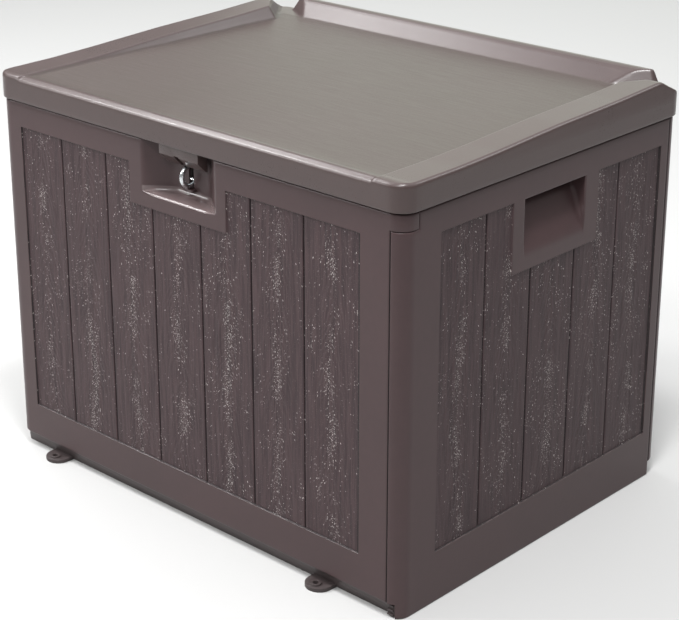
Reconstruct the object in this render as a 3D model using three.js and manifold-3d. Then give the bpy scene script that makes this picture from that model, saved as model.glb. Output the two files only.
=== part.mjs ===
// Resin deck storage box: a snap-together body of four wall panels on a floor tray,
// with a hinged lid, a slotted hasp tongue and a steel padlock ring.
// Units are millimetres, +Z is up, the front of the box faces -Y.
// The origin is the middle of the footprint, on the ground.
import * as THREE from "three";
import { mergeVertices } from "three/addons/utils/BufferGeometryUtils.js";
import Module from "manifold-3d";

const wasm = await Module();
wasm.setup();

// ---------------------------------------------------------------- driving dimensions
const GAP = 0.3; // clearance between touching pieces
const HX = 290; // half width of the body
const HY = 220; // half depth of the body
const BODY_TOP = 415; // top edge of the wall panels
const CORNER_R = 16; // outer radius of the body corners
const SKIN = 4; // wall skin
const PANEL_DEPTH = 18; // skin, ribs and flanges together
const FRONT_BOTTOM = 16; // front and back panels stand on the floor tray's rim
const SEAM_X = HX - CORNER_R; // butt seam of the front panel
const SEAM_Y = HY - CORNER_R; // butt seam of the side panel
const LUG_H = 17; // height of the lug that hooks round the corner
const LUG_Y = 198; // end of that lug on the side face
const FIELD_Z0 = 56; // recessed plank field
const FIELD_Z1 = 387;
const FIELD_DEPTH = 1.6;
const GROOVE_W = 2.6;
const GROOVE_DEPTH = 1.1; // below the plank face
const FRONT_FIELD = [-256.5, 237.5];
const FRONT_GROOVES = [-190, -119, -48, 23, 94, 165];
const SIDE_FIELD = [-166.5, 190];
const SIDE_GROOVES = [-98.5, -27, 44.7, 116.5];

// latch pocket in the front panel
const LATCH_BLOCK = [-80, 61.5, 342.5]; // smooth block: x from, x to, lower edge
const POCKET_X = -6.75; // middle of the pocket
const POCKET_FRONT = 52.75; // half width at the front face
const POCKET_BACK = 26.25; // half width at the back wall
const POCKET_DEPTH = 21;
const POCKET_Z = 359; // lower front edge
const RING_X = -9; // plane of the ring and of the slit
const RING_Y = -HY + 18.6;
const RING_Z = BODY_TOP - 32.6;
const RING_R = 10.6; // centreline radius
const RING_WIRE = 2.6; // wire radius
const RING_PIVOT = 4.4; // pin is this far behind and below the ring's middle
const PIN_R = 1.5;
const SLOT_HALF = 3.5; // half width of the slot and the slit

// side grip
const GRIP_BLOCK = [-59, 80, 313]; // y from, y to, lower edge
const GRIP_Y = [-41, 57];
const GRIP_TOP = 386.5;
const GRIP_PROFILE = [[0, 386.5], [24, 386.5], [24, 380], [15.5, 373], [7.5, 352], [1.5, 335], [0, 329]]; // depth, height

// floor tray
const RIM_TOP = 15.7;
const FLOOR_TOP = 14;
const FLOOR_T = 3;
const EAR_R = 15;
const EAR_T = 4;
const EAR_HOLE = 3;
const EARS_X = [-222, 186];

// lid
const LX = 293; // half width
const LY = 223; // half depth
const LID_R = 20;
const LID_BOTTOM = BODY_TOP + 1.5;
const LID_TOP = BODY_TOP + 26; // recessed top surface
const LIP_TOP = BODY_TOP + 28; // front lip
const LID_SKIN = 3.5;
const BAND_W = 34; // side bands
const BAND_FRONT = BODY_TOP + 30.5;
const BAND_REAR = BODY_TOP + 42.5;
const BAND_END_Y = 204;
const RIM_H = BODY_TOP + 42.5; // back rim
const RIM_W = 34; // its inner face is a gentle slope
const RIM_END_X = 259;
const TONGUE_X = [-34, 22.5];
const TONGUE_DROP = 9.5; // flat front face below the body's top edge
const TONGUE_SLOPE = 11; // the 45 degree part

// hinges
const AXIS_Y = 228;
const AXIS_Z = BODY_TOP + 1;
const KNUCKLE_R = 4.2;
const HINGE_PIN_R = 1.9;
const HINGE_X = [-170, 170];
const HINGE_HALF = 32;
const HINGE_SCREW_X = 20; // either side of the hinge's middle
const BODY_SCREW_Z = 398;
const LID_SCREW_Z = 430;
const SCREW_HEAD_R = 4;
const SCREW_R = 1.45;

// ---------------------------------------------------------------- materials
const resin = (hex, rough) => new THREE.MeshStandardMaterial({ color: hex, roughness: rough, metalness: 0 });
const wallResin = resin(0x544a49, 0.5);
const lidResin = resin(0x625855, 0.38);
const trayResin = resin(0x3c3434, 0.6);
const zinc = new THREE.MeshStandardMaterial({ color: 0xb9bcc0, roughness: 0.3, metalness: 1 });
const blackSteel = new THREE.MeshStandardMaterial({ color: 0x2c2a2a, roughness: 0.45, metalness: 0.6 });

// ---------------------------------------------------------------- helpers
function solid(geometry) {
  let g = geometry.clone();
  g.deleteAttribute("normal");
  g.deleteAttribute("uv");
  g = mergeVertices(g, 1e-4);
  return new wasm.Manifold(new wasm.Mesh({
    numProp: 3,
    vertProperties: new Float32Array(g.attributes.position.array),
    triVerts: new Uint32Array(g.index.array),
  }));
}
function box(x0, x1, y0, y1, z0, z1) {
  const g = new THREE.BoxGeometry(x1 - x0, y1 - y0, z1 - z0);
  g.translate((x0 + x1) / 2, (y0 + y1) / 2, (z0 + z1) / 2);
  return solid(g);
}
// a plan outline (x, y) raised from z0 to z1
function plan(points, z0, z1) {
  const shape = new THREE.Shape(points.map((p) => new THREE.Vector2(p[0], p[1])));
  const g = new THREE.ExtrudeGeometry(shape, { depth: z1 - z0, bevelEnabled: false, steps: 1 });
  g.translate(0, 0, z0);
  return solid(g);
}
// a side profile (y, z) carried from x0 to x1
function profileX(points, x0, x1) {
  const shape = new THREE.Shape(points.map((p) => new THREE.Vector2(p[0], p[1])));
  const g = new THREE.ExtrudeGeometry(shape, { depth: x1 - x0, bevelEnabled: false, steps: 1 });
  // extrusion axis z -> x, shape x -> y, shape y -> z
  g.applyMatrix4(new THREE.Matrix4().makeBasis(new THREE.Vector3(0, 1, 0), new THREE.Vector3(0, 0, 1), new THREE.Vector3(1, 0, 0)));
  g.translate(x0, 0, 0);
  return solid(g);
}
// a profile (x, z) carried from y0 to y1
function profileY(points, y0, y1) {
  const shape = new THREE.Shape(points.map((p) => new THREE.Vector2(p[0], -p[1])));
  const g = new THREE.ExtrudeGeometry(shape, { depth: y1 - y0, bevelEnabled: false, steps: 1 });
  g.applyMatrix4(new THREE.Matrix4().makeBasis(new THREE.Vector3(1, 0, 0), new THREE.Vector3(0, 0, -1), new THREE.Vector3(0, 1, 0)));
  g.translate(0, y0, 0);
  return solid(g);
}
function cylinder(axis, r, from, to, c, seg = 20) {
  const g = new THREE.CylinderGeometry(r, r, to - from, seg);
  if (axis === "x") g.rotateZ(-Math.PI / 2).translate((from + to) / 2, c[0], c[1]);
  if (axis === "y") g.translate(c[0], (from + to) / 2, c[1]);
  if (axis === "z") g.rotateX(Math.PI / 2).translate(c[0], c[1], (from + to) / 2);
  return solid(g);
}
const join = (list) => list.reduce((a, b) => a.add(b));
const cut = (a, list) => list.reduce((s, b) => s.subtract(b), a);
function arc(cx, cy, r, a0, a1, n) {
  const out = [];
  for (let i = 0; i <= n; i++) {
    const a = ((a0 + ((a1 - a0) * i) / n) * Math.PI) / 180;
    out.push([cx + r * Math.cos(a), cy + r * Math.sin(a)]);
  }
  return out;
}
function roundedRect(hx, hy, r, n = 6) {
  return [
    ...arc(hx - r, hy - r, r, 0, 90, n),
    ...arc(-hx + r, hy - r, r, 90, 180, n),
    ...arc(-hx + r, -hy + r, r, 180, 270, n),
    ...arc(hx - r, -hy + r, r, 270, 360, n),
  ];
}
const group = new THREE.Group();
function add(name, manifold, material, halfTurn = false) {
  const m = manifold.getMesh();
  const g = new THREE.BufferGeometry();
  const pos = new Float32Array((m.vertProperties.length / m.numProp) * 3);
  for (let i = 0; i < pos.length / 3; i++) {
    for (let k = 0; k < 3; k++) pos[3 * i + k] = m.vertProperties[i * m.numProp + k];
  }
  g.setAttribute("position", new THREE.BufferAttribute(pos, 3));
  g.setIndex(new THREE.BufferAttribute(new Uint32Array(m.triVerts), 1));
  g.computeVertexNormals();
  const mesh = new THREE.Mesh(g, material);
  mesh.name = name;
  if (halfTurn) mesh.rotation.z = Math.PI;
  group.add(mesh);
}

// ---------------------------------------------------------------- front and back panels
const IN = PANEL_DEPTH;
function widePanel(withLatch) {
  const z0 = FRONT_BOTTOM, z1 = BODY_TOP;
  const r = CORNER_R;
  // outline of everything the panel may fill, with the wrapped corner at -x
  const outline = [[SEAM_X, -HY], [SEAM_X, -HY + IN], [-HX + IN, -HY + IN], [-HX + IN, -SEAM_Y], [-HX, -SEAM_Y], ...arc(-HX + r, -HY + r, r, 180, 270, 6)];
  const full = (a, b) => plan(outline, a, b);
  const skin = cut(full(z0, z1), [plan([[SEAM_X + 1, -HY + SKIN], [SEAM_X + 1, HY], [-HX + SKIN, HY], [-HX + SKIN, -SEAM_Y], ...arc(-HX + r, -HY + r, r - SKIN, 180, 270, 6)], z0 - 1, z1 + 1)]);
  const parts = [
    skin,
    full(z1 - 4, z1),
    full(z0, z0 + 4),
    box(SEAM_X - 4, SEAM_X, -HY, -HY + IN, z0, z1), // butt flange
    box(-HX, -HX + IN, -SEAM_Y - 4, -SEAM_Y, z0, z1), // flange that closes the corner column
    // lug round the next corner, over the side panel's column
    plan([[SEAM_X - 1, -HY], ...arc(HX - r, -HY + r, r, 270, 360, 6), [HX, -LUG_Y], [HX - IN, -LUG_Y], [HX - IN, -HY + IN], [SEAM_X - 1, -HY + IN]], z1 - 4, z1),
    plan([[SEAM_X - 1, -HY], ...arc(HX - r, -HY + r, r, 270, 360, 6), [HX, -LUG_Y], [HX - 5, -LUG_Y], ...arc(HX - r, -HY + r, r - 5, 360, 270, 6), [SEAM_X - 1, -HY + 5]], z1 - LUG_H, z1),
  ];
  for (const x of FRONT_GROOVES) parts.push(box(x - 1.5, x + 1.5, -HY + 1, -HY + IN - 1, z0, z1));
  for (const z of [130, 215, 300]) parts.push(box(-HX + IN - 2, SEAM_X - 1, -HY + 1, -HY + IN - 5, z - 1.5, z + 1.5));
  let body = join(parts);
  // plank field, with the smooth block left round the latch pocket
  const fieldPiece = (x0, x1, a, b) => box(x0, x1, -HY - 1, -HY + FIELD_DEPTH, a, b);
  let field = fieldPiece(FRONT_FIELD[0], FRONT_FIELD[1], FIELD_Z0, FIELD_Z1);
  if (withLatch) field = field.subtract(box(LATCH_BLOCK[0], LATCH_BLOCK[1], -HY - 2, -HY + 9, LATCH_BLOCK[2], 500));
  let grooves = join(FRONT_GROOVES.map((x) => box(x - GROOVE_W / 2, x + GROOVE_W / 2, -HY - 1, -HY + FIELD_DEPTH + GROOVE_DEPTH, FIELD_Z0, FIELD_Z1)));
  if (withLatch) grooves = grooves.subtract(box(LATCH_BLOCK[0], LATCH_BLOCK[1], -HY - 2, -HY + 9, LATCH_BLOCK[2], 500));
  body = cut(body, [field, grooves]);
  if (withLatch) {
    const c = POCKET_X, f = POCKET_FRONT, b = POCKET_BACK, d = POCKET_DEPTH, t = 3;
    const outer = plan([[c - f - t, -HY + 1], [c + f + t, -HY + 1], [c + b + t, -HY + d + t], [c - b - t, -HY + d + t]], POCKET_Z - t, BODY_TOP);
    const inner = plan([[c - f, -HY - 1], [c + f, -HY - 1], [c + f, -HY], [c + b, -HY + d], [c - b, -HY + d], [c - f, -HY]], POCKET_Z, BODY_TOP + 1);
    const floorWedge = profileX([[-HY + 0.01, POCKET_Z - 1], [-HY + d + 1, POCKET_Z - 1], [-HY + d + 1, POCKET_Z + 1.6]], c - f - 1, c + f + 1);
    // housing behind the back wall for the ring's slot and its pin
    const back = -HY + d, hs = SLOT_HALF + 4;
    const housing = box(RING_X - hs, RING_X + hs, back, -HY + 39, RING_Z - 18, RING_Z + 18);
    const slot = box(RING_X - SLOT_HALF, RING_X + SLOT_HALF, back - 2, -HY + 36, RING_Z - 13.8, RING_Z + 15.4);
    const pinHole = cylinder("x", PIN_R + 0.3, RING_X - hs + 1, RING_X + hs - 1, [RING_Y + RING_PIVOT, RING_Z - RING_PIVOT], 16);
    const lip = box(RING_X - 7, RING_X + 7, back - 5.5, back + 1, RING_Z - 16.6, RING_Z - 13.6);
    body = join([body, outer, housing]);
    body = cut(body, [inner.subtract(floorWedge), slot, pinHole]);
    body = body.add(lip);
  } else {
    // bosses for the hinge screws (this panel is turned half round, so x changes sign)
    for (const cx of HINGE_X) {
      for (const s of [-1, 1]) {
        const c = [-(cx + s * HINGE_SCREW_X), BODY_SCREW_Z];
        body = body.add(cylinder("y", 4.5, -HY + 1, -HY + 12, c, 14)).subtract(cylinder("y", SCREW_R + GAP, -HY - 1, -HY + 10.5, c, 12));
      }
    }
  }
  return body;
}
add("front_panel", widePanel(true), wallResin);
add("back_panel", widePanel(false), wallResin, true);

// ---------------------------------------------------------------- side panels
function sidePanel() {
  const r = CORNER_R, x0 = SEAM_X + GAP, yEnd = SEAM_Y - GAP, z1 = BODY_TOP;
  const outline = [[x0, -HY], ...arc(HX - r, -HY + r, r, 278, 360, 6), [HX, yEnd], [HX - IN, yEnd], [HX - IN, -HY + IN + GAP], [x0, -HY + IN + GAP]];
  const full = (a, b) => plan(outline, a, b);
  const hollow = plan([[x0 - 1, -HY + SKIN], ...arc(HX - r, -HY + r, r - SKIN, 270, 360, 6), [HX - SKIN, yEnd + 1], [0, yEnd + 1], [0, -HY + SKIN]], -1, z1 + 1);
  const parts = [
    cut(full(0, z1), [hollow]),
    full(z1 - 4, z1),
    full(0, 3),
    box(x0, x0 + 4, -HY + 1, -HY + IN, 0, z1), // flange against the front panel
    box(x0, HX - 1, -HY + IN - 3, -HY + IN, 0, z1),
    box(HX - IN, HX, yEnd - 4, yEnd, 0, z1),
    box(HX - IN, HX, -HY + IN + GAP, -HY + IN + 3, 0, z1),
  ];
  parts.push(box(x0, HX - 1, -HY + IN - 3, -HY + IN + 3, 0, z1));
  for (const y of SIDE_GROOVES) parts.push(box(HX - IN + 1, HX - 1, y - 1.5, y + 1.5, 0, z1));
  for (const z of [130, 215]) parts.push(box(HX - IN + 5, HX - 1, -HY + IN, yEnd - 1, z - 1.5, z + 1.5));
  let body = join(parts);
  let field = box(HX - FIELD_DEPTH, HX + 1, SIDE_FIELD[0], SIDE_FIELD[1], FIELD_Z0, FIELD_Z1);
  let grooves = join(SIDE_GROOVES.map((y) => box(HX - FIELD_DEPTH - GROOVE_DEPTH, HX + 1, y - GROOVE_W / 2, y + GROOVE_W / 2, FIELD_Z0, FIELD_Z1)));
  const block = box(HX - 9, HX + 2, GRIP_BLOCK[0], GRIP_BLOCK[1], GRIP_BLOCK[2], 500);
  body = cut(body, [field.subtract(block), grooves.subtract(block)]);
  // grip scoop: deep under its upper edge, running out flush below
  const scoop = profileY(GRIP_PROFILE.map(([d, z]) => [HX - d, z]).concat([[HX + 3, 329], [HX + 3, GRIP_TOP]]), GRIP_Y[0], GRIP_Y[1]);
  const back = profileY([[HX - 1, GRIP_TOP + 3], [HX - 27, GRIP_TOP + 3], [HX - 27, 378.5], [HX - 18.5, 371], [HX - 10.5, 350], [HX - 4.5, 333], [HX - 3, 326], [HX - 1, 326]], GRIP_Y[0] - 3, GRIP_Y[1] + 3);
  body = body.add(back).subtract(scoop);
  // room for the front panel's lug and for the floor tray's interlock tab
  body = cut(body, [
    box(SEAM_X - 5, HX + 1, -HY - 1, -LUG_Y + GAP, z1 - LUG_H - GAP, z1 + 1),
    box(SEAM_X - 5, SEAM_X + 9, -HY - 1, -HY + IN - 4, -1, FRONT_BOTTOM),
  ]);
  return body;
}
add("right_side_panel", sidePanel(), wallResin);
add("left_side_panel", sidePanel(), wallResin, true);

// ---------------------------------------------------------------- floor tray
{
  const inX = HX - IN - 0.5; // between the side panels
  const strip = (s) => {
    // rim under the front panel, tapering in towards the ground, with a round free corner
    const p = profileX([[-HY + 3, RIM_TOP], [-HY + 9, 0], [-HY + IN, 0], [-HY + IN, RIM_TOP]], -HX + 3, SEAM_X - 0.5);
    const mask = plan([[SEAM_X, -HY], [SEAM_X, 0], [-HX + 3, 0], ...arc(-HX + 3 + 13, -HY + 3 + 13, 13, 180, 270, 5)], -1, 30);
    const clear = box(-HX, -inX, -SEAM_Y - GAP, 0, -1, 30); // left side panel's butt flange
    let q = p.intersect(mask).subtract(clear);
    // interlock tab with three ribs, in the notch of the side panel's column
    q = q.add(box(SEAM_X - 2, SEAM_X + 7, -HY + 5, -HY + 12, 1, 14.5));
    for (const z of [2, 7, 12]) q = q.add(box(SEAM_X - 1, SEAM_X + 6.5, -HY + 3, -HY + 6, z, z + 1.8));
    // anchor ears with a fixing hole
    for (const x of EARS_X) {
      const ear = plan([[x + EAR_R, -HY + 12], ...arc(x, -HY, EAR_R, 0, -180, 10), [x - EAR_R, -HY + 12]].reverse(), 0, EAR_T);
      const pad = cylinder("z", 6, EAR_T - 1, EAR_T + 1.6, [x, -HY - 5.5], 20);
      q = q.add(ear).add(pad).subtract(cylinder("z", EAR_HOLE, -1, EAR_T + 5, [x, -HY - 5.5], 20));
    }
    return s < 0 ? q : q.rotate([0, 0, 180]);
  };
  const parts = [
    box(-inX, inX, -HY + IN - 1, HY - IN + 1, FLOOR_TOP - FLOOR_T, FLOOR_TOP),
    box(-inX, -inX + 4, -HY + IN - 1, HY - IN + 1, 0, FLOOR_TOP),
    box(inX - 4, inX, -HY + IN - 1, HY - IN + 1, 0, FLOOR_TOP),
    strip(-1),
    strip(1),
  ];
  // deep ribs, and a lattice of shallow ones between them
  for (const x of [-90, 90]) parts.push(box(x - 1.5, x + 1.5, -HY + IN - 1, HY - IN + 1, 1, FLOOR_TOP - 1));
  parts.push(box(-inX, inX, -1.5, 1.5, 1, FLOOR_TOP - 1));
  for (const x of [-225, -180, -135, -45, 0, 45, 135, 180, 225]) parts.push(box(x - 1.2, x + 1.2, -HY + IN - 1, HY - IN + 1, 7.5, FLOOR_TOP - 1));
  for (const y of [-150, -100, -50, 50, 100, 150]) parts.push(box(-inX, inX, y - 1.2, y + 1.2, 7.5, FLOOR_TOP - 1));
  add("floor_tray", join(parts), trayResin);
}

// ---------------------------------------------------------------- lid
{
  const mask = plan(roundedRect(LX, LY, LID_R), LID_BOTTOM, 600);
  const plate = plan(roundedRect(LX, LY, LID_R), LID_BOTTOM, LID_TOP);
  const bevel = 3;
  const bandProfile = [[-LY, LID_TOP - 2], [-LY, BAND_FRONT - 2], [-LY + 3, BAND_FRONT], [BAND_END_Y, BAND_REAR], [BAND_END_Y + 12, LID_TOP + 2], [BAND_END_Y + 12, LID_TOP - 2]];
  // a side band: flat top, inner wall at 60 degrees, outer edge drawn in a little towards the rear
  const band = (s) => {
    let b = profileX(bandProfile, LX - BAND_W - 8, LX);
    // inner wall
    const inner = profileY([[LX - BAND_W - 9, LID_TOP - 3], [LX - BAND_W - 9, 500], [LX - BAND_W + 1.5, 500], [LX - BAND_W + 1.5, BAND_REAR], [LX - BAND_W - 6, LID_TOP - 0.5], [LX - BAND_W - 6, LID_TOP - 3]], -LY - 1, LY + 1);
    b = b.subtract(inner);
    // outer edge
    const outer = profileY([[LX + 1, LID_TOP], [LX, LID_TOP + 1], [LX - 4.5, BAND_REAR + 0.5], [LX - 4.5, 500], [LX + 1, 500]], -LY - 1, LY + 1);
    b = b.subtract(outer);
    // diagonal rear end, beside the drain channel
    const end = plan([[LX - BAND_W - 9, 162], [LX + 5, 206], [LX + 5, 300], [LX - BAND_W - 9, 300]], LID_TOP - 0.01, 600);
    b = b.subtract(end).intersect(mask);
    return s > 0 ? b : b.mirror([1, 0, 0]);
  };
  let rim = profileX([[LY - RIM_W, LID_TOP - 2], [LY - RIM_W, LID_TOP], [LY - 10, RIM_H - 1], [LY - 7, RIM_H], [LY - 3, RIM_H], [LY, RIM_H - 3], [LY, LID_TOP - 2]], -RIM_END_X - 8, RIM_END_X + 8);
  const endCut = plan([[226, LY - RIM_W - 1], [RIM_END_X + 1, LY + 1], [300, LY + 1], [300, LY - RIM_W - 1]], LID_TOP, 600);
  const endSlope = profileY([[RIM_END_X - 1, 600], [RIM_END_X - 1, RIM_H], [RIM_END_X + 9, LID_TOP], [400, LID_TOP], [400, 600]], -LY, LY + 1);
  rim = cut(rim, [endCut, endCut.mirror([1, 0, 0]), endSlope, endSlope.mirror([1, 0, 0])]);
  const lip = profileX([[-LY, LID_TOP - 2], [-LY, LIP_TOP - 3], [-LY + 3, LIP_TOP], [-LY + 7, LIP_TOP], [-LY + 9, LID_TOP], [-LY + 9, LID_TOP - 2]], -LX, LX).intersect(mask);
  let lid = join([plate, lip, band(1), band(-1), rim]);
  // underside: shell, stiffening ribs, support rib over the body's top flange
  const top = LID_TOP - 3;
  lid = lid.subtract(plan(roundedRect(LX - LID_SKIN, LY - LID_SKIN, LID_R - LID_SKIN), LID_BOTTOM - 1, top));
  const ribs = [];
  for (const x of [-210, -140, -70, 0, 70, 140, 210]) ribs.push(box(x - 1.5, x + 1.5, -LY + 12, LY - 12, top - 14, top + 1));
  for (const y of [-140, -70, 0, 70, 140]) ribs.push(box(-LX + 12, LX - 12, y - 1.5, y + 1.5, top - 14, top + 1));
  const support = plan(roundedRect(HX - 6, HY - 6, 10), BODY_TOP + GAP, top + 1).subtract(plan(roundedRect(HX - 9, HY - 9, 7), BODY_TOP - 1, top - 0.0));
  ribs.push(support);
  lid = join([lid, ...ribs]);
  // room for the hasp tongue, and two bosses for its screws
  const tx0 = TONGUE_X[0] - 1, tx1 = TONGUE_X[1] + 1;
  lid = lid.subtract(box(tx0, tx1, -LY + LID_SKIN, -180, BODY_TOP, top));
  for (const x of [TONGUE_X[0] + 9, TONGUE_X[1] - 9]) {
    lid = lid.add(cylinder("z", 4.5, 435.3, top + 1, [x, -195], 16));
    lid = lid.subtract(cylinder("z", 1.75, 434, 440, [x, -195], 12));
  }
  for (const cx of HINGE_X) {
    for (const s of [-1, 1]) {
      const c = [cx + s * HINGE_SCREW_X, LID_SCREW_Z];
      lid = lid.add(cylinder("y", 4.5, HY - 8, LY - 1, c, 14)).subtract(cylinder("y", SCREW_R + GAP, HY - 6.5, LY + 1, c, 12));
    }
  }
  add("lid", lid, lidResin);

  // hasp tongue: flat face, 45 degree underside, vertical slit for the ring
  const f = -LY + LID_SKIN + GAP, zs = BODY_TOP - TONGUE_DROP, ze = zs - TONGUE_SLOPE;
  const yb = f + 13.5;
  let tongue = profileX([[f, 435], [f, zs], [f + TONGUE_SLOPE, ze], [yb, ze], [yb, 432], [yb + 21, 432], [yb + 21, 435]], TONGUE_X[0], TONGUE_X[1]);
  tongue = tongue.subtract(profileX([[f + 3, 431.9], [f + 3, zs + 1.5], [f + TONGUE_SLOPE + 0.5, ze + 4.2], [yb + 1, ze + 4.2], [yb + 1, 431.9]], TONGUE_X[0] + 3, RING_X - SLOT_HALF - 2.5));
  tongue = tongue.subtract(profileX([[f + 3, 431.9], [f + 3, zs + 1.5], [f + TONGUE_SLOPE + 0.5, ze + 4.2], [yb + 1, ze + 4.2], [yb + 1, 431.9]], RING_X + SLOT_HALF + 2.5, TONGUE_X[1] - 3));
  tongue = tongue.subtract(box(RING_X - SLOT_HALF, RING_X + SLOT_HALF, f - 1, yb + 1, ze - 1, zs + 1));
  for (const x of [TONGUE_X[0] + 9, TONGUE_X[1] - 9]) tongue = tongue.subtract(cylinder("z", 2.1, 430, 437, [x, -195], 16));
  add("hasp_tongue", tongue, lidResin);
  [TONGUE_X[0] + 9, TONGUE_X[1] - 9].forEach((x, i) => {
    const s = cylinder("z", 4, 429.2, 431.7, [x, -195], 16).add(cylinder("z", 1.45, 431.5, 439, [x, -195], 12));
    add(i ? "hasp_screw_right" : "hasp_screw_left", s, zinc);
  });
}

// ---------------------------------------------------------------- padlock ring and its pin
{
  const torus = new THREE.TorusGeometry(RING_R, RING_WIRE, 12, 40);
  torus.rotateY(Math.PI / 2).translate(RING_X, RING_Y, RING_Z);
  add("lock_ring", solid(torus), zinc);
  add("ring_pin", cylinder("x", PIN_R, RING_X - SLOT_HALF - 2.6, RING_X + SLOT_HALF + 2.6, [RING_Y + RING_PIVOT, RING_Z - RING_PIVOT], 16), zinc);
}

// ---------------------------------------------------------------- hinges
HINGE_X.forEach((cx, i) => {
  const side = i ? "right" : "left";
  const a = [AXIS_Y, AXIS_Z];
  const k = 11; // half length of the lid leaf's middle knuckle
  const bore = cylinder("x", HINGE_PIN_R + GAP, cx - 60, cx + 60, a, 20);
  // body leaf: plate on the back panel, two outer knuckles
  let leaf = box(cx - HINGE_HALF, cx + HINGE_HALF, HY + GAP, HY + 2.3, 387.5, 414.5);
  for (const [p, q] of [[cx - HINGE_HALF, cx - k - 0.4], [cx + k + 0.4, cx + HINGE_HALF]]) {
    leaf = leaf.add(cylinder("x", KNUCKLE_R, p, q, a, 20));
    leaf = leaf.add(profileX([[HY + 1, 408], [HY + 2.3, 408], [AXIS_Y + 1, AXIS_Z - KNUCKLE_R + 0.3], [AXIS_Y - 2, AXIS_Z - 2], [HY + 4, 414.5], [HY + 1, 414.5]], p, q));
  }
  leaf = leaf.subtract(bore);
  for (const s of [-1, 1]) leaf = leaf.subtract(cylinder("y", SCREW_R + 0.8, HY, HY + 4, [cx + s * HINGE_SCREW_X, BODY_SCREW_Z], 12));
  add(`hinge_${side}_body_leaf`, leaf, blackSteel);
  // lid leaf: plate on the lid's rear skirt, middle knuckle
  let lidLeaf = box(cx - HINGE_HALF, cx + HINGE_HALF, LY + GAP, LY + 2.3, AXIS_Z + 5.2, 438);
  lidLeaf = lidLeaf.add(cylinder("x", KNUCKLE_R, cx - k, cx + k, a, 20));
  lidLeaf = lidLeaf.add(profileX([[LY + GAP, AXIS_Z + 1], [AXIS_Y - 1, AXIS_Z + 1], [LY + 2.3, AXIS_Z + 8], [LY + GAP, AXIS_Z + 8]], cx - k, cx + k));
  lidLeaf = lidLeaf.subtract(bore);
  for (const s of [-1, 1]) lidLeaf = lidLeaf.subtract(cylinder("y", SCREW_R + 0.8, LY, LY + 4, [cx + s * HINGE_SCREW_X, LID_SCREW_Z], 12));
  add(`hinge_${side}_lid_leaf`, lidLeaf, blackSteel);
  [-1, 1].forEach((s, j) => {
    const x = cx + s * HINGE_SCREW_X;
    const b = cylinder("y", SCREW_HEAD_R, HY + 2.6, HY + 4.6, [x, BODY_SCREW_Z], 16).add(cylinder("y", SCREW_R, HY - 9.5, HY + 3, [x, BODY_SCREW_Z], 10));
    const l = cylinder("y", SCREW_HEAD_R, LY + 2.6, LY + 4.6, [x, LID_SCREW_Z], 16).add(cylinder("y", SCREW_R, HY - 5.5, LY + 3, [x, LID_SCREW_Z], 10));
    add(`hinge_${side}_body_screw_${j + 1}`, b, zinc);
    add(`hinge_${side}_lid_screw_${j + 1}`, l, zinc);
  });
  add(`hinge_${side}_pin`, cylinder("x", HINGE_PIN_R, cx - HINGE_HALF - 1, cx + HINGE_HALF + 1, a, 16), zinc);
});

export default group;
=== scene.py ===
# Resin deck storage box: detailed pieces, materials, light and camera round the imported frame.
import math
import bmesh
import bpy
import numpy as np
from mathutils import Matrix, Vector


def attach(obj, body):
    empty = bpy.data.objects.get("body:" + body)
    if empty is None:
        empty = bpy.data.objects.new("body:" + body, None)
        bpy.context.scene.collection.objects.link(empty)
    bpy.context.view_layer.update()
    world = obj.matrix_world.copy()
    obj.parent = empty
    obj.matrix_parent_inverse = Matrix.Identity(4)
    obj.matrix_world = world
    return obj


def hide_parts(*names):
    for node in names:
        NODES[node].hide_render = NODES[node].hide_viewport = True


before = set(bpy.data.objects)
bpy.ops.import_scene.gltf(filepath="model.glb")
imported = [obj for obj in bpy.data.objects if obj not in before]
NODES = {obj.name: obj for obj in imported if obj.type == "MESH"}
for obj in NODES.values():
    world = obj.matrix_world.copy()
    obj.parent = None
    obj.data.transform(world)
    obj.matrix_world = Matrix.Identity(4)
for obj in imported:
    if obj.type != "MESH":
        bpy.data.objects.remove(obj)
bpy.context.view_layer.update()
MM = 0.001
scene = bpy.context.scene

# ---------------------------------------------------------------- sizes, in millimetres, as in the CAD
HX, HY, TOP, R = 290.0, 220.0, 415.0, 16.0
SEAM_X, SEAM_Y, LUG_H, LUG_Y = 274.0, 204.0, 17.0, 198.0
FIELD_Z = (56.0, 387.0)
FRONT_FIELD, FRONT_GROOVES = (-256.5, 237.5), (-190.0, -119.0, -48.0, 23.0, 94.0, 165.0)
SIDE_FIELD, SIDE_GROOVES = (-166.5, 190.0), (-98.5, -27.0, 44.7, 116.5)
ARC = R * math.pi / 2
LATCH_BLOCK = (-80.0, 61.5, 342.5)
PX, PF, PB, PD, PZ = -6.75, 52.75, 26.25, 21.0, 359.0
RING_X, RING_Y, RING_Z = -9.0, -201.4, 382.4
GRIP_BLOCK = (-59.0, 80.0, 313.0)
GRIP_Y, GRIP_TOP = (-41.0, 57.0), 386.5
LX, LY, LR = 293.0, 223.0, 20.0
LID_BOTTOM, LID_TOP, LIP_TOP = 416.5, 441.0, 443.0


# ---------------------------------------------------------------- small maths
def sstep(a, b, x):
    t = np.clip((x - a) / (b - a), 0, 1)
    return t * t * (3 - 2 * t)


def smin(a, b, k):
    h = np.maximum(k - np.abs(a - b), 0)
    return np.minimum(a, b) - h * h / (4 * k)


def smax(a, b, k):
    return -smin(-a, -b, k)


def round_edge(d, r):
    """How far a face drops at distance d from an edge of radius r."""
    t = np.clip(d, 0, r)
    return r - np.sqrt(np.maximum(r * r - (r - t) ** 2, 0))


def lattice(n, seed):
    return np.random.RandomState(seed).rand(n, n)


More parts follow.
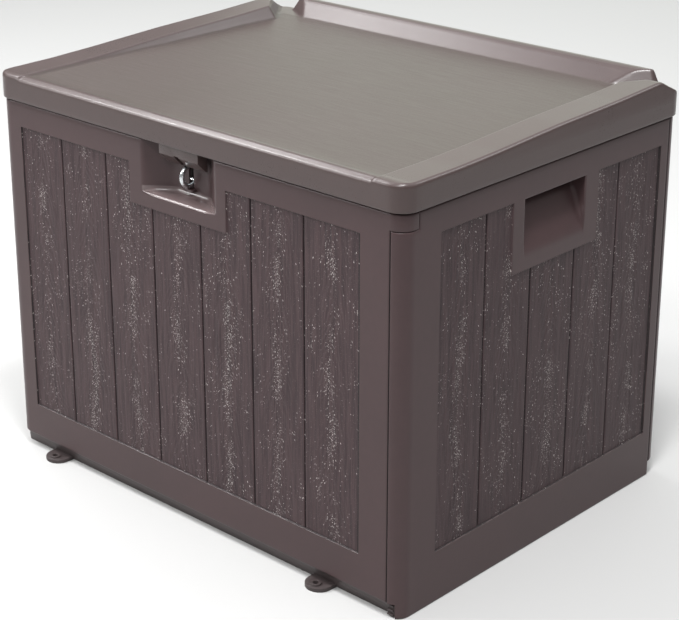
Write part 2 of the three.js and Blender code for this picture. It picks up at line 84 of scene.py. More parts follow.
def noise2(x, y, seed):
    """Smooth value noise, -1 to 1."""
    g = lattice(64, seed)
    xi, yi = np.floor(x).astype(int), np.floor(y).astype(int)
    fx, fy = x - xi, y - yi
    fx, fy = fx * fx * (3 - 2 * fx), fy * fy * (3 - 2 * fy)
    a, b = g[xi % 64, yi % 64], g[(xi + 1) % 64, yi % 64]
    c, d = g[xi % 64, (yi + 1) % 64], g[(xi + 1) % 64, (yi + 1) % 64]
    return ((a * (1 - fx) + b * fx) * (1 - fy) + (c * (1 - fx) + d * fx) * fy) * 2 - 1


def lines(lo, hi, step, fine):
    """Grid lines from lo to hi, step apart, with the fine sets of lines put in."""
    out = list(np.linspace(lo, hi, max(2, int(round((hi - lo) / step)) + 1)))
    keep = []
    fine = [f for f in sorted(set(round(float(v), 4) for v in fine)) if lo <= f <= hi]
    fa = np.array(fine)
    for v in out:
        if v in (lo, hi) or not len(fa) or np.min(np.abs(fa - v)) > step * 0.45:
            keep.append(v)
    both = sorted(set(round(float(v), 4) for v in keep + fine))
    res = [both[0]]
    for v in both[1:]:
        if v - res[-1] > 0.03:
            res.append(v)
    return np.array(res)


# ---------------------------------------------------------------- mesh helpers
def to_object(name, verts, faces):
    me = bpy.data.meshes.new(name)
    me.from_pydata((np.asarray(verts, float) * MM).tolist(), [], faces)
    me.update()
    ob = bpy.data.objects.new(name, me)
    scene.collection.objects.link(ob)
    return ob


def shade(ob, angle=32):
    me = ob.data
    old = me.attributes.get("custom_normal")  # left by the source meshes
    if old is not None:
        me.attributes.remove(old)
    me.polygons.foreach_set("use_smooth", np.ones(len(me.polygons), bool))
    me.set_sharp_from_angle(angle=math.radians(angle))
    me.update()


def flat_slot(ob, k):
    """The faces in one material slot, and any large plane face, are shaded flat."""
    me = ob.data
    area = np.empty(len(me.polygons), np.float32)
    me.polygons.foreach_get("area", area)
    idx, smooth = np.empty(len(me.polygons), np.int32), np.empty(len(me.polygons), bool)
    me.polygons.foreach_get("material_index", idx)
    me.polygons.foreach_get("use_smooth", smooth)
    smooth[(idx == k) | (area > 70e-6)] = False
    me.polygons.foreach_set("use_smooth", smooth)
    me.update()


def outward(ob):
    bm = bmesh.new()
    bm.from_mesh(ob.data)
    bmesh.ops.recalc_face_normals(bm, faces=bm.faces)
    if bm.calc_volume(signed=True) < 0:
        bmesh.ops.reverse_faces(bm, faces=bm.faces)
    bm.to_mesh(ob.data)
    bm.free()


def boolean(a, b, op, keep_b=False):
    """a with b joined, cut away or kept in common, by the manifold solver; falls back to the exact one."""
    for solver in ("MANIFOLD", "EXACT"):
        m = a.modifiers.new("b", "BOOLEAN")
        m.operation, m.solver, m.object = op, solver, b
        bpy.context.view_layer.update()
        dg = bpy.context.evaluated_depsgraph_get()
        me = bpy.data.meshes.new_from_object(a.evaluated_get(dg))
        a.modifiers.remove(m)
        same = len(me.vertices) == len(a.data.vertices) and len(me.polygons) == len(a.data.polygons)
        if len(me.vertices) and not same:
            a.data = me
            break
        print("boolean", op, "by", solver, "changed nothing on", a.name, "with", b.name, len(me.vertices))
    if not keep_b:
        bpy.data.objects.remove(b)
    return a


def box(name, x0, x1, y0, y1, z0, z1, bevel=0.0, segments=3):
    v = [(x, y, z) for x in (x0, x1) for y in (y0, y1) for z in (z0, z1)]
    f = [(0, 1, 3, 2), (4, 6, 7, 5), (0, 4, 5, 1), (2, 3, 7, 6), (0, 2, 6, 4), (1, 5, 7, 3)]
    ob = to_object(name, v, f)
    if bevel:
        bm = bmesh.new()
        bm.from_mesh(ob.data)
        bmesh.ops.bevel(bm, geom=bm.edges[:], offset=bevel * MM, segments=segments, affect="EDGES", profile=0.5)
        bm.to_mesh(ob.data)
        bm.free()
    outward(ob)
    return ob


def prism(name, outline, z0, z1):
    """A plan outline raised from z0 to z1."""
    n = len(outline)
    v = [(x, y, z0) for x, y in outline] + [(x, y, z1) for x, y in outline]
    f = [tuple(range(n - 1, -1, -1)), tuple(range(n, 2 * n))]
    f += [(i, (i + 1) % n, n + (i + 1) % n, n + i) for i in range(n)]
    ob = to_object(name, v, f)
    outward(ob)
    return ob


def rod(name, axis, r, a, b, c, seg=32):
    """A plain cylinder along an axis."""
    ring = [(r * math.cos(2 * math.pi * i / seg), r * math.sin(2 * math.pi * i / seg)) for i in range(seg)]
    def at(t, p, q):
        return {"x": (t, c[0] + p, c[1] + q), "y": (c[0] + p, t, c[1] + q), "z": (c[0] + p, c[1] + q, t)}[axis]
    v = [at(a, p, q) for p, q in ring] + [at(b, p, q) for p, q in ring]
    f = [tuple(range(seg)), tuple(range(2 * seg - 1, seg - 1, -1))]
    f += [(i, (i + 1) % seg, seg + (i + 1) % seg, seg + i) for i in range(seg)]
    ob = to_object(name, v, f)
    outward(ob)
    return ob


def rounded_rect(hx, hy, r, n=10):
    out = []
    for cx, cy, a0 in ((hx - r, hy - r, 0), (-hx + r, hy - r, 90), (-hx + r, -hy + r, 180), (hx - r, -hy + r, 270)):
        for i in range(n + 1):
            a = math.radians(a0 + 90 * i / n)
            out.append((cx + r * math.cos(a), cy + r * math.sin(a)))
    return out


def cad_copy(node, name):
    """A copy of a CAD node's mesh with its corners merged."""
    src = NODES[node]
    me = src.data.copy()
    ob = bpy.data.objects.new(name, me)
    scene.collection.objects.link(ob)
    bm = bmesh.new()
    bm.from_mesh(me)
    bmesh.ops.transform(bm, matrix=src.matrix_world, verts=bm.verts)
    bmesh.ops.remove_doubles(bm, verts=bm.verts, dist=1e-6)
    bmesh.ops.recalc_face_normals(bm, faces=bm.faces)
    bm.to_mesh(me)
    bm.free()
    me.materials.clear()
    if me.has_custom_normals:
        me.normals_split_custom_set_from_vertices([(0, 0, 0)] * len(me.vertices))
    return ob


def polished(node, name, width, segments=2, angle=30, dissolve=1.0):
    """A copy of a CAD node with flat faces made whole and its edges rounded."""
    ob = cad_copy(node, name)
    bm = bmesh.new()
    bm.from_mesh(ob.data)
    bmesh.ops.dissolve_limit(bm, angle_limit=math.radians(dissolve), use_dissolve_boundaries=False, verts=bm.verts, edges=bm.edges)
    bm.to_mesh(ob.data)
    bm.free()
    m = ob.modifiers.new("bevel", "BEVEL")
    m.width, m.segments, m.limit_method, m.angle_limit = width * MM, segments, "ANGLE", math.radians(angle)
    m.use_clamp_overlap = True
    m.harden_normals = False
    bpy.context.view_layer.update()
    me = bpy.data.meshes.new_from_object(ob.evaluated_get(bpy.context.evaluated_depsgraph_get()))
    ob.modifiers.remove(m)
    ob.data = me
    shade(ob, 40)
    return ob


# ---------------------------------------------------------------- wall panels as closed relief slabs
def place(U):
    """Plan position and outward direction along the wall: the front, its left corner for u < -274,
    its right corner for u > 274, then the right side face."""
    X, Y, NX, NY = U * 1.0, np.full_like(U, -HY), np.zeros_like(U), np.full_like(U, -1.0)
    a = np.clip((-SEAM_X - U) / R, 0, math.pi / 2)
    left = U < -SEAM_X
    X = np.where(left, -SEAM_X - R * np.sin(a), X)
    Y = np.where(left, -SEAM_Y - R * np.cos(a), Y)
    NX, NY = np.where(left, -np.sin(a), NX), np.where(left, -np.cos(a), NY)
    b = np.clip((U - SEAM_X) / R, 0, math.pi / 2)
    right = U > SEAM_X
    X = np.where(right, SEAM_X + R * np.sin(b), X)
    Y = np.where(right, -SEAM_Y - R * np.cos(b) + np.maximum(U - SEAM_X - ARC, 0), Y)
    NX, NY = np.where(right, np.sin(b), NX), np.where(right, -np.cos(b), NY)
    return X, Y, NX, NY


def slab(name, us, zs, depth, inner, mask):
    """A closed solid: a relief surface over the (u, z) grid, a plain surface behind it, and the walls between."""
    U, Z = np.meshgrid(us, zs, indexing="ij")
    X, Y, NX, NY = place(U)
    D, I = depth(U, Z), inner(U, Z)
    n, m = U.shape
    outer = np.stack([X - NX * D, Y - NY * D, Z], -1).reshape(-1, 3)
    back = np.stack([X - NX * I, Y - NY * I, Z], -1).reshape(-1, 3)
    UC, ZC = (U[:-1, :-1] + U[1:, 1:]) / 2, (Z[:-1, :-1] + Z[1:, 1:]) / 2
    M = mask(UC, ZC)
    idx = np.arange(n * m).reshape(n, m)
    ii, jj = np.nonzero(M)
    quads = np.stack([idx[ii, jj], idx[ii + 1, jj], idx[ii + 1, jj + 1], idx[ii, jj + 1]], 1)
    total = n * m
    faces = quads.tolist() + (quads[:, ::-1] + total).tolist()
    P = np.pad(M, 1)
    C = P[1:-1, 1:-1]
    for di, dj, (a, b) in (
        (-1, 0, ((0, 1), (0, 0))), (1, 0, ((1, 0), (1, 1))), (0, -1, ((0, 0), (1, 0))), (0, 1, ((1, 1), (0, 1)))):
        N = P[1 + di:P.shape[0] - 1 + di, 1 + dj:P.shape[1] - 1 + dj]
        ei, ej = np.nonzero(C & ~N)
        p, q = idx[ei + a[0], ej + a[1]], idx[ei + b[0], ej + b[1]]
        faces += np.stack([p, q, q + total, p + total], 1)[:, ::-1].tolist()
    verts = np.concatenate([outer, back])
    used = np.unique(np.array([v for f in faces for v in f]))
    remap = -np.ones(2 * total, int)
    remap[used] = np.arange(len(used))
    faces = [[int(remap[v]) for v in f] for f in faces]
    ob = to_object(name, verts[used], faces)
    bm = bmesh.new()
    bm.from_mesh(ob.data)
    bmesh.ops.recalc_face_normals(bm, faces=bm.faces)
    if bm.calc_volume(signed=True) < 0:
        bmesh.ops.reverse_faces(bm, faces=bm.faces)
    bm.to_mesh(ob.data)
    bm.free()
    return ob


def step_in(u, lo, hi, w):
    """1 inside lo..hi, easing over w at each side, measured inwards."""
    return sstep(lo - w / 2, lo + w / 2, u) * (1 - sstep(hi - w / 2, hi + w / 2, u))


def plank_depth(U, Z, field, grooves, block, seed):
    """The recessed plank field with its grooves and the broad part of its grain."""
    inside = step_in(U, field[0], field[1], 0.9) * step_in(Z, FIELD_Z[0], FIELD_Z[1], 0.9)
    if block:
        solid = step_in(U, block[0], block[1], 0.9) * sstep(block[2] - 0.45, block[2] + 0.45, Z)
        inside = inside * (1 - solid)
    g = np.zeros_like(U)
    for k in grooves:
        s = np.abs(U - k)
        g = np.maximum(g, 1.7 * (1 - sstep(0.35, 1.35, s)) + 0.14 * (1 - sstep(1.2, 3.2, s)))
    # grain: broad streaks along the plank, and nested arches round a wandering centre line
    edges = np.array([field[0]] + list(grooves) + [field[1]])
    k = np.clip(np.searchsorted(edges, U) - 1, 0, len(edges) - 2)
    mid = (edges[k] + edges[k + 1]) / 2
    grain = 0.17 * noise2(U / 3.4 + 11.3 * k, Z / 58.0 + 3.1 * k, seed) + 0.10 * noise2(U / 1.9, Z / 36.0 + 1.7 * k, seed + 1)
    c = mid + 7.0 * noise2(k * 5.3 + 0.5 + 0 * U, Z / 95.0, seed + 2)
    ring = (U - c) ** 2 / 120.0 + Z / 26.0 + 1.6 * noise2(U / 16.0, Z / 60.0, seed + 3)
    near = np.exp(-((U - c) / 19.0) ** 2)
    grain = grain + 0.13 * near * np.sin(ring * 2.0)
    soft = 1 - g / 1.3
    return inside * (1.6 + g + np.clip(soft, 0, 1) * grain)


def pocket_side(s, B, r, RR, w=0.5):
    """Depth at distance s inside an opening's edge, for a recess B deep: rounded lip, steep wall, filleted root."""
    B = np.maximum(B, 1e-6)
    r_, R_ = np.minimum(r, 0.3 * B), np.minimum(RR, 0.65 * B)
    out = np.where(s < -r_, 0.0, r_ - np.sqrt(np.maximum(r_ * r_ - (s + r_) ** 2, 0)))
    out = np.where(s >= 0, r_ + (B - R_ - r_) * np.clip(s / w, 0, 1), out)
    t = np.clip(s - w, 0, R_)
    out = np.where(s >= w, B - R_ + np.sqrt(np.maximum(R_ * R_ - (R_ - t) ** 2, 0)), out)
    return np.where(s >= w + R_, B, out)


def front_pocket(U, Z):
    wall = (PF - np.abs(U - PX)) * PD / (PF - PB)
    wall = smax(smin(wall, np.full_like(wall, PD), 5.0), np.zeros_like(wall), 2.6)
    wall = np.where(np.abs(U - PX) > PF + 3, 0, wall)
    return smin(wall, pocket_side(Z - PZ, wall, 3.2, 5.5, 1.1) + np.where(Z > PZ + 7, 4.0, 0.0), 0.01)


def wide_panel_depth(latch, seed, detail=True):
    def depth(U, Z):
        d = plank_depth(U, Z, FRONT_FIELD, FRONT_GROOVES, LATCH_BLOCK if latch else None, seed) if detail else 0 * U
        # outer edges
        right = np.where(Z < TOP - LUG_H, SEAM_X - U, 1e3)
        lug = np.where(U > SEAM_X, np.minimum(Z - (TOP - LUG_H), SEAM_X + ARC + (SEAM_Y - LUG_Y) - U), 1e3)
        notch = np.where((Z >= TOP - LUG_H) & (U <= SEAM_X), np.hypot(SEAM_X - U, Z - (TOP - LUG_H)), 1e3)
        e = round_edge(np.minimum(Z - 16, U + SEAM_X + ARC), 1.4)
        e = np.maximum(e, round_edge(np.minimum(np.minimum(right, lug), notch), 1.5))
        e = np.maximum(e, round_edge(TOP - Z, 2.2))
        d = np.maximum(d, e)
        if latch:
            p = front_pocket(U, Z)
            d = np.where(p > 0.0, np.maximum(p, e), d)
        return d
    return depth


def rounding_lines(edge, r, side):
    """Grid lines that carry a rounded edge at `edge`; side is +1 if the face lies above it."""
    return [edge + side * r * t for t in (0, 0.04, 0.15, 0.33, 0.6, 1.0)]


def step_lines(at, w=0.9):
    return [at - w / 2, at - w / 4, at, at + w / 4, at + w / 2]


def groove_lines(k):
    return [k + t for t in (-3.4, -2.3, -1.5, -1.15, -0.8, -0.5, 0, 0.5, 0.8, 1.15, 1.5, 2.3, 3.4)]


def wide_panel(name, latch, seed):
    fu = rounding_lines(-SEAM_X - ARC, 1.4, 1) + rounding_lines(SEAM_X, 1.5, -1) + [SEAM_X + 0.0]
    fu += [-SEAM_X - ARC * t for t in np.linspace(0, 1, 9)] + [SEAM_X + ARC * t for t in np.linspace(0, 1, 9)]
    fu += rounding_lines(SEAM_X + ARC + 6, 1.5, -1)
    for k in FRONT_GROOVES:
        fu += groove_lines(k)
    for k in FRONT_FIELD:
        fu += step_lines(k)
    fz = rounding_lines(16, 1.4, 1) + rounding_lines(TOP, 2.2, -1) + rounding_lines(TOP - LUG_H, 1.5, 1) + rounding_lines(TOP - LUG_H, 1.5, -1)
    for k in FIELD_Z:
        fz += step_lines(k)
    if latch:
        fz += step_lines(LATCH_BLOCK[2])
        for k in LATCH_BLOCK[:2]:
            fu += step_lines(k)
        for sgn in (-1, 1):
            fu += [PX + sgn * (PF + t) for t in np.arange(-6, 3.01, 0.5)] + [PX + sgn * (PB + t) for t in np.arange(-4, 5, 0.75)]
        fz += list(PZ - 3.2 + np.array([0, 0.4, 0.9, 1.4, 1.9, 2.3, 2.6, 2.8, 2.95, 3.05, 3.13, 3.18]))
        fz += list(PZ + np.linspace(0, 1.1, 12)) + list(PZ + 1.1 + 5.5 * np.array([0.01, 0.04, 0.09, 0.16, 0.25, 0.36, 0.5, 0.66, 0.82, 1.0]))
    us = lines(-SEAM_X - ARC, SEAM_X + ARC + 6, 1.9, fu)
    zs = lines(16, TOP, 3.6, fz)
    plain = wide_panel_depth(latch, seed, detail=False)

    def inner(U, Z):
        if not latch:
            return np.full_like(U, 3.5)
        near = (np.abs(U - PX) < PF + 7) & (Z > PZ - 8)
        p = np.zeros_like(U)
        for du in (-3.0, 0.0, 3.0):
            for dz in (0.0, 1.5, 3.0):
                p = np.maximum(p, front_pocket(U + du, Z + dz))
        return np.where(near, np.maximum(3.5, p + 3.0), 3.5)

    mask = lambda U, Z: (U < SEAM_X) | (Z > TOP - LUG_H)
    ob = slab(name, us, zs, wide_panel_depth(latch, seed), inner, mask)
    print(name, "slab", len(us), len(zs), len(ob.data.polygons))
    return ob


def grip_back(Z):
    """Depth of the grip's slanted back at height Z."""
    z = np.array([329, 335, 352, 373, 380, 392])
    d = np.array([0, 1.5, 7.5, 15.5, 24, 24])
    out = np.zeros_like(Z)
    for o, w in ((-3, 0.15), (-1.5, 0.22), (0, 0.26), (1.5, 0.22), (3, 0.15)):
        out = out + w * np.interp(Z + o, z, d, left=0, right=24)
    return out


def grip_depth(Y, Z):
    B = grip_back(Z)
    inside = (Y > GRIP_Y[0] - 2) & (Y < GRIP_Y[1] + 2) & (Z > 320) & (Z < GRIP_TOP + 2)
    a = pocket_side(Y - GRIP_Y[0], B, 1.6, 5.0, 0.8)
    b = pocket_side(GRIP_Y[1] - Y, B, 1.6, 5.0, 0.8)
    c = pocket_side(GRIP_TOP - Z, B, 1.6, 3.5, 0.5)
    return np.where(inside, np.minimum(np.minimum(a, b), c), 0.0)


def side_y(U):
    return U - SEAM_X - ARC - SEAM_Y


def side_depth(seed, detail=True):
    uend = side_u(SEAM_Y - 0.3)
    ulug = side_u(-LUG_Y + 0.3)
    def depth(U, Z):
        Y = side_y(U)
        d = plank_depth(Y, Z, SIDE_FIELD, SIDE_GROOVES, GRIP_BLOCK, seed) if detail else 0 * U
        top = np.where(U > ulug, TOP - Z, 1e3)
        under = np.where(U <= ulug, TOP - LUG_H - 0.3 - Z, 1e3)
        beside = np.where(Z > TOP - LUG_H - 0.3, U - ulug, 1e3)
        corner = np.where((Z <= TOP - LUG_H - 0.3) & (U > ulug), np.hypot(U - ulug, TOP - LUG_H - 0.3 - Z), 1e3)
        e = round_edge(np.minimum(np.minimum(Z, U - (SEAM_X + 0.3)), uend - U), 1.4)
        e = np.maximum(e, round_edge(np.minimum(np.minimum(under, beside), corner), 1.6))
        e = np.maximum(e, round_edge(top, 2.2))
        d = np.maximum(d, e)
        p = grip_depth(Y, Z)
        return np.where(p > 0, np.maximum(p, e), d)
    return depth


def side_u(y):
    return y + SEAM_X + ARC + SEAM_Y


def side_panel(name, seed):
    ulug, zlug, tabu = side_u(-LUG_Y + 0.3), TOP - LUG_H - 0.3, SEAM_X + R * math.asin(9 / 16)
    fu = rounding_lines(SEAM_X + 0.3, 1.4, 1) + rounding_lines(side_u(SEAM_Y - 0.3), 1.4, -1)
    fu += rounding_lines(ulug, 1.6, 1) + rounding_lines(ulug, 1.6, -1) + [tabu] + [SEAM_X + ARC * t for t in np.linspace(0.06, 1, 10)]
    for k in SIDE_GROOVES:
        fu += [side_u(v) for v in groove_lines(k)]
    for k in list(SIDE_FIELD) + list(GRIP_BLOCK[:2]):
        fu += [side_u(v) for v in step_lines(k)]
    for edge, sgn in ((GRIP_Y[0], 1), (GRIP_Y[1], -1)):
        s = list(-1.6 + 1.6 * np.array([0, 0.3, 0.55, 0.75, 0.9, 0.98])) + list(np.linspace(0, 0.8, 9)) + list(0.8 + 5.0 * np.array([0.02, 0.07, 0.15, 0.27, 0.42, 0.6, 0.8, 1.0]))
        fu += [side_u(edge + sgn * v) for v in s]
    fz = rounding_lines(0, 1.4, 1) + rounding_lines(TOP, 2.2, -1) + rounding_lines(zlug, 1.6, 1) + rounding_lines(zlug, 1.6, -1) + [16.0]
    for k in list(FIELD_Z) + [GRIP_BLOCK[2]]:
        fz += step_lines(k)
    s = list(-1.6 + 1.6 * np.array([0, 0.3, 0.55, 0.75, 0.9, 0.98])) + list(np.linspace(0, 0.5, 9)) + list(0.5 + 3.5 * np.array([0.02, 0.07, 0.15, 0.27, 0.42, 0.6, 0.8, 1.0]))
    fz += [GRIP_TOP - v for v in s] + list(np.arange(327, 384, 1.5))
    us = lines(SEAM_X + 0.3, side_u(SEAM_Y - 0.3), 1.9, fu)
    zs = lines(0, TOP, 3.6, fz)

    def inner(U, Z):
        Y = side_y(U)
        p = np.zeros_like(U)
        for dy in (-2.6, 0.0, 2.6):
            for dz in (-2.6, 0.0, 2.6):
                p = np.maximum(p, grip_depth(Y + dy, Z + dz))
        return np.where(p > 0.01, np.maximum(3.5, p + 2.8), 3.5)

    mask = lambda U, Z: ((U > ulug) | (Z < zlug)) & ~((U < tabu) & (Z < 16.0))
    ob = slab(name, us, zs, side_depth(seed), inner, mask)
    print(name, "slab", len(us), len(zs), len(ob.data.polygons))
    return ob


def inner_core(node, name, hx, hy, r, z0, z1, cutters=()):
    """What the CAD node has behind its skin."""
    core = cad_copy(node, name)
    boolean(core, prism(name + "_keep", rounded_rect(hx, hy, r), z0, z1), "INTERSECT")
    for c in cutters:
        boolean(core, c, "DIFFERENCE")
    return core


def half_turn(ob):
    ob.data.transform(Matrix.Rotation(math.pi, 4, "Z"))


def slots_by(ob, materials, choose):
    """Gives each face the material that choose(centres) names."""
    me = ob.data
    me.materials.clear()
    for m in materials:
        me.materials.append(m)
    c = np.empty(len(me.polygons) * 3)
    me.polygons.foreach_get("center", c)
    idx = choose(c.reshape(-1, 3) / MM).astype(np.int32)
    me.polygons.foreach_set("material_index", idx)
    me.update()


def depth_in(c, hx, hy, r):
    """Distance in from a round-cornered plan outline, millimetres."""
    qx, qy = np.abs(c[:, 0]) - (hx - r), np.abs(c[:, 1]) - (hy - r)
    return r - (np.hypot(np.maximum(qx, 0), np.maximum(qy, 0)) + np.minimum(np.maximum(qx, qy), 0))


# ---------------------------------------------------------------- materials
class Nodes:
    def __init__(self, name):
        self.mat = bpy.data.materials.new(name)
        self.mat.use_nodes = True
        self.t = self.mat.node_tree
        self.t.nodes.clear()
        self.out = self.t.nodes.new("ShaderNodeOutputMaterial")
        self.bsdf = self.t.nodes.new("ShaderNodeBsdfPrincipled")
        self.t.links.new(self.bsdf.outputs[0], self.out.inputs[0])
        self.coord = self.t.nodes.new("ShaderNodeTexCoord").outputs["Object"]

    def link(self, a, b):
        self.t.links.new(a, b)

    def put(self, sock, v):
        if isinstance(v, bpy.types.NodeSocket):
            self.link(v, sock)
        else:
            sock.default_value = v

    def math(self, op, a, b=None, c=None, clamp=False):
        n = self.t.nodes.new("ShaderNodeMath")
        n.operation, n.use_clamp = op, clamp
        for i, v in enumerate((a, b, c)):
            if v is not None:
                self.put(n.inputs[i], v)
        return n.outputs[0]

    def vmath(self, op, a, b):
        n = self.t.nodes.new("ShaderNodeVectorMath")
        n.operation = op
        self.put(n.inputs[0], a)
        self.put(n.inputs[1], b)
        return n.outputs[0]

    def split(self, v):
        n = self.t.nodes.new("ShaderNodeSeparateXYZ")
        self.link(v, n.inputs[0])
        return n.outputs

    def join(self, x, y, z):
        n = self.t.nodes.new("ShaderNodeCombineXYZ")
        for i, v in enumerate((x, y, z)):
            self.put(n.inputs[i], v)
        return n.outputs[0]

    def noise(self, v, scale=1.0, detail=2.0, rough=0.5, dims="3D"):
        n = self.t.nodes.new("ShaderNodeTexNoise")
        n.noise_dimensions = dims
        self.link(v, n.inputs["Vector"])
        n.inputs["Scale"].default_value = scale
        n.inputs["Detail"].default_value = detail
        n.inputs["Roughness"].default_value = rough
        return n.outputs[0]

    def voronoi(self, v, scale=1.0, rand=1.0, dims="3D"):
        n = self.t.nodes.new("ShaderNodeTexVoronoi")
        n.voronoi_dimensions = dims
        self.link(v, n.inputs["Vector"])
        n.inputs["Scale"].default_value = scale
        n.inputs["Randomness"].default_value = rand
        return n.outputs["Distance"], n.outputs["Color"]

    def ramp(self, v, a, b, lo=0.0, hi=1.0):
        n = self.t.nodes.new("ShaderNodeMapRange")
        n.interpolation_type = "SMOOTHSTEP"
        self.put(n.inputs[0], v)
        for i, x in enumerate((a, b, lo, hi)):
            self.put(n.inputs[1 + i], x)
        return n.outputs[0]

    def mix(self, f, a, b):
        n = self.t.nodes.new("ShaderNodeMix")
        n.data_type = "RGBA"
        self.put(n.inputs[0], f)
        self.put(n.inputs[6], a)
        self.put(n.inputs[7], b)
        return n.outputs[2]

    def bump(self, h, distance, strength=1.0, normal=None):
        n = self.t.nodes.new("ShaderNodeBump")
        n.inputs["Strength"].default_value = strength
        n.inputs["Distance"].default_value = distance
        self.link(h, n.inputs["Height"])
        if normal is not None:
            self.link(normal, n.inputs["Normal"])
        return n.outputs[0]


def rgb(r, g, b):
    f = lambda c: c / 12.92 if c <= 0.04045 else ((c + 0.055) / 1.055) ** 2.4
    return (f(r / 255), f(g / 255), f(b / 255), 1.0)


WALL = rgb(66, 50, 51)
WALL_DARK = rgb(62, 47, 48)
PLANK = rgb(65, 49, 51)
PLANK_DARK = rgb(47, 34, 37)
LID = rgb(68, 55, 54)


def seam_shadow(n, colour):
    """Darkens the narrow gaps between the wall panels."""
    s = n.split(n.coord)
    x, y, z = (n.math("MULTIPLY", s[i], 1000.0) for i in range(3))
    a = n.math("ABSOLUTE", n.math("ADD", n.math("MULTIPLY", n.math("SIGN", y), x), SEAM_X))
    a = n.math("MULTIPLY", n.ramp(a, 1.0, 0.3), n.math("GREATER_THAN", n.math("ABSOLUTE", y), HY - 2.5))
    a = n.math("MULTIPLY", a, n.math("LESS_THAN", z, TOP - LUG_H - 0.5))
    b = n.math("ABSOLUTE", n.math("SUBTRACT", n.math("MULTIPLY", n.math("SIGN", x), y), SEAM_Y))
    b = n.math("MULTIPLY", n.ramp(b, 1.0, 0.3), n.math("GREATER_THAN", n.math("ABSOLUTE", x), HX - 2.5))
    return n.mix(n.math("MULTIPLY", n.math("MAXIMUM", a, b), 0.85), colour, rgb(14, 10, 11))


def satin(name, base, dark, rough=0.42, grain=0.5, bump=0.00006, spec=0.5, seam_shade=False):
    """Moulded resin: faint cloudiness, fine etched texture, slight flow marks."""
    n = Nodes(name)
    cloud = n.noise(n.coord, 9.0, 3.0, 0.55)
    fine = n.noise(n.coord, 900.0, 2.0, 0.6)
    mid = n.noise(n.coord, 130.0, 3.0, 0.6)
    f = n.math("ADD", n.math("MULTIPLY", cloud, 0.7), n.math("MULTIPLY", mid, 0.3))
    colour = n.mix(n.ramp(f, 0.35, 0.65), dark, base)
    # painted shade: the narrow gaps between the wall panels are darkened in the colour
    n.put(n.bsdf.inputs["Base Color"], seam_shadow(n, colour) if seam_shade else colour)
    r = n.math("ADD", n.math("MULTIPLY", n.math("SUBTRACT", cloud, 0.5), 0.10), rough)
    r = n.math("ADD", r, n.math("MULTIPLY", n.math("SUBTRACT", fine, 0.5), 0.10))
    n.put(n.bsdf.inputs["Roughness"], r)
    n.bsdf.inputs["IOR"].default_value = 1.5
    n.bsdf.inputs["Specular IOR Level"].default_value = spec
    h = n.math("ADD", n.math("MULTIPLY", fine, grain), n.math("MULTIPLY", mid, 0.35))
    n.put(n.bsdf.inputs["Normal"], n.bump(h, bump))
    return n.mat


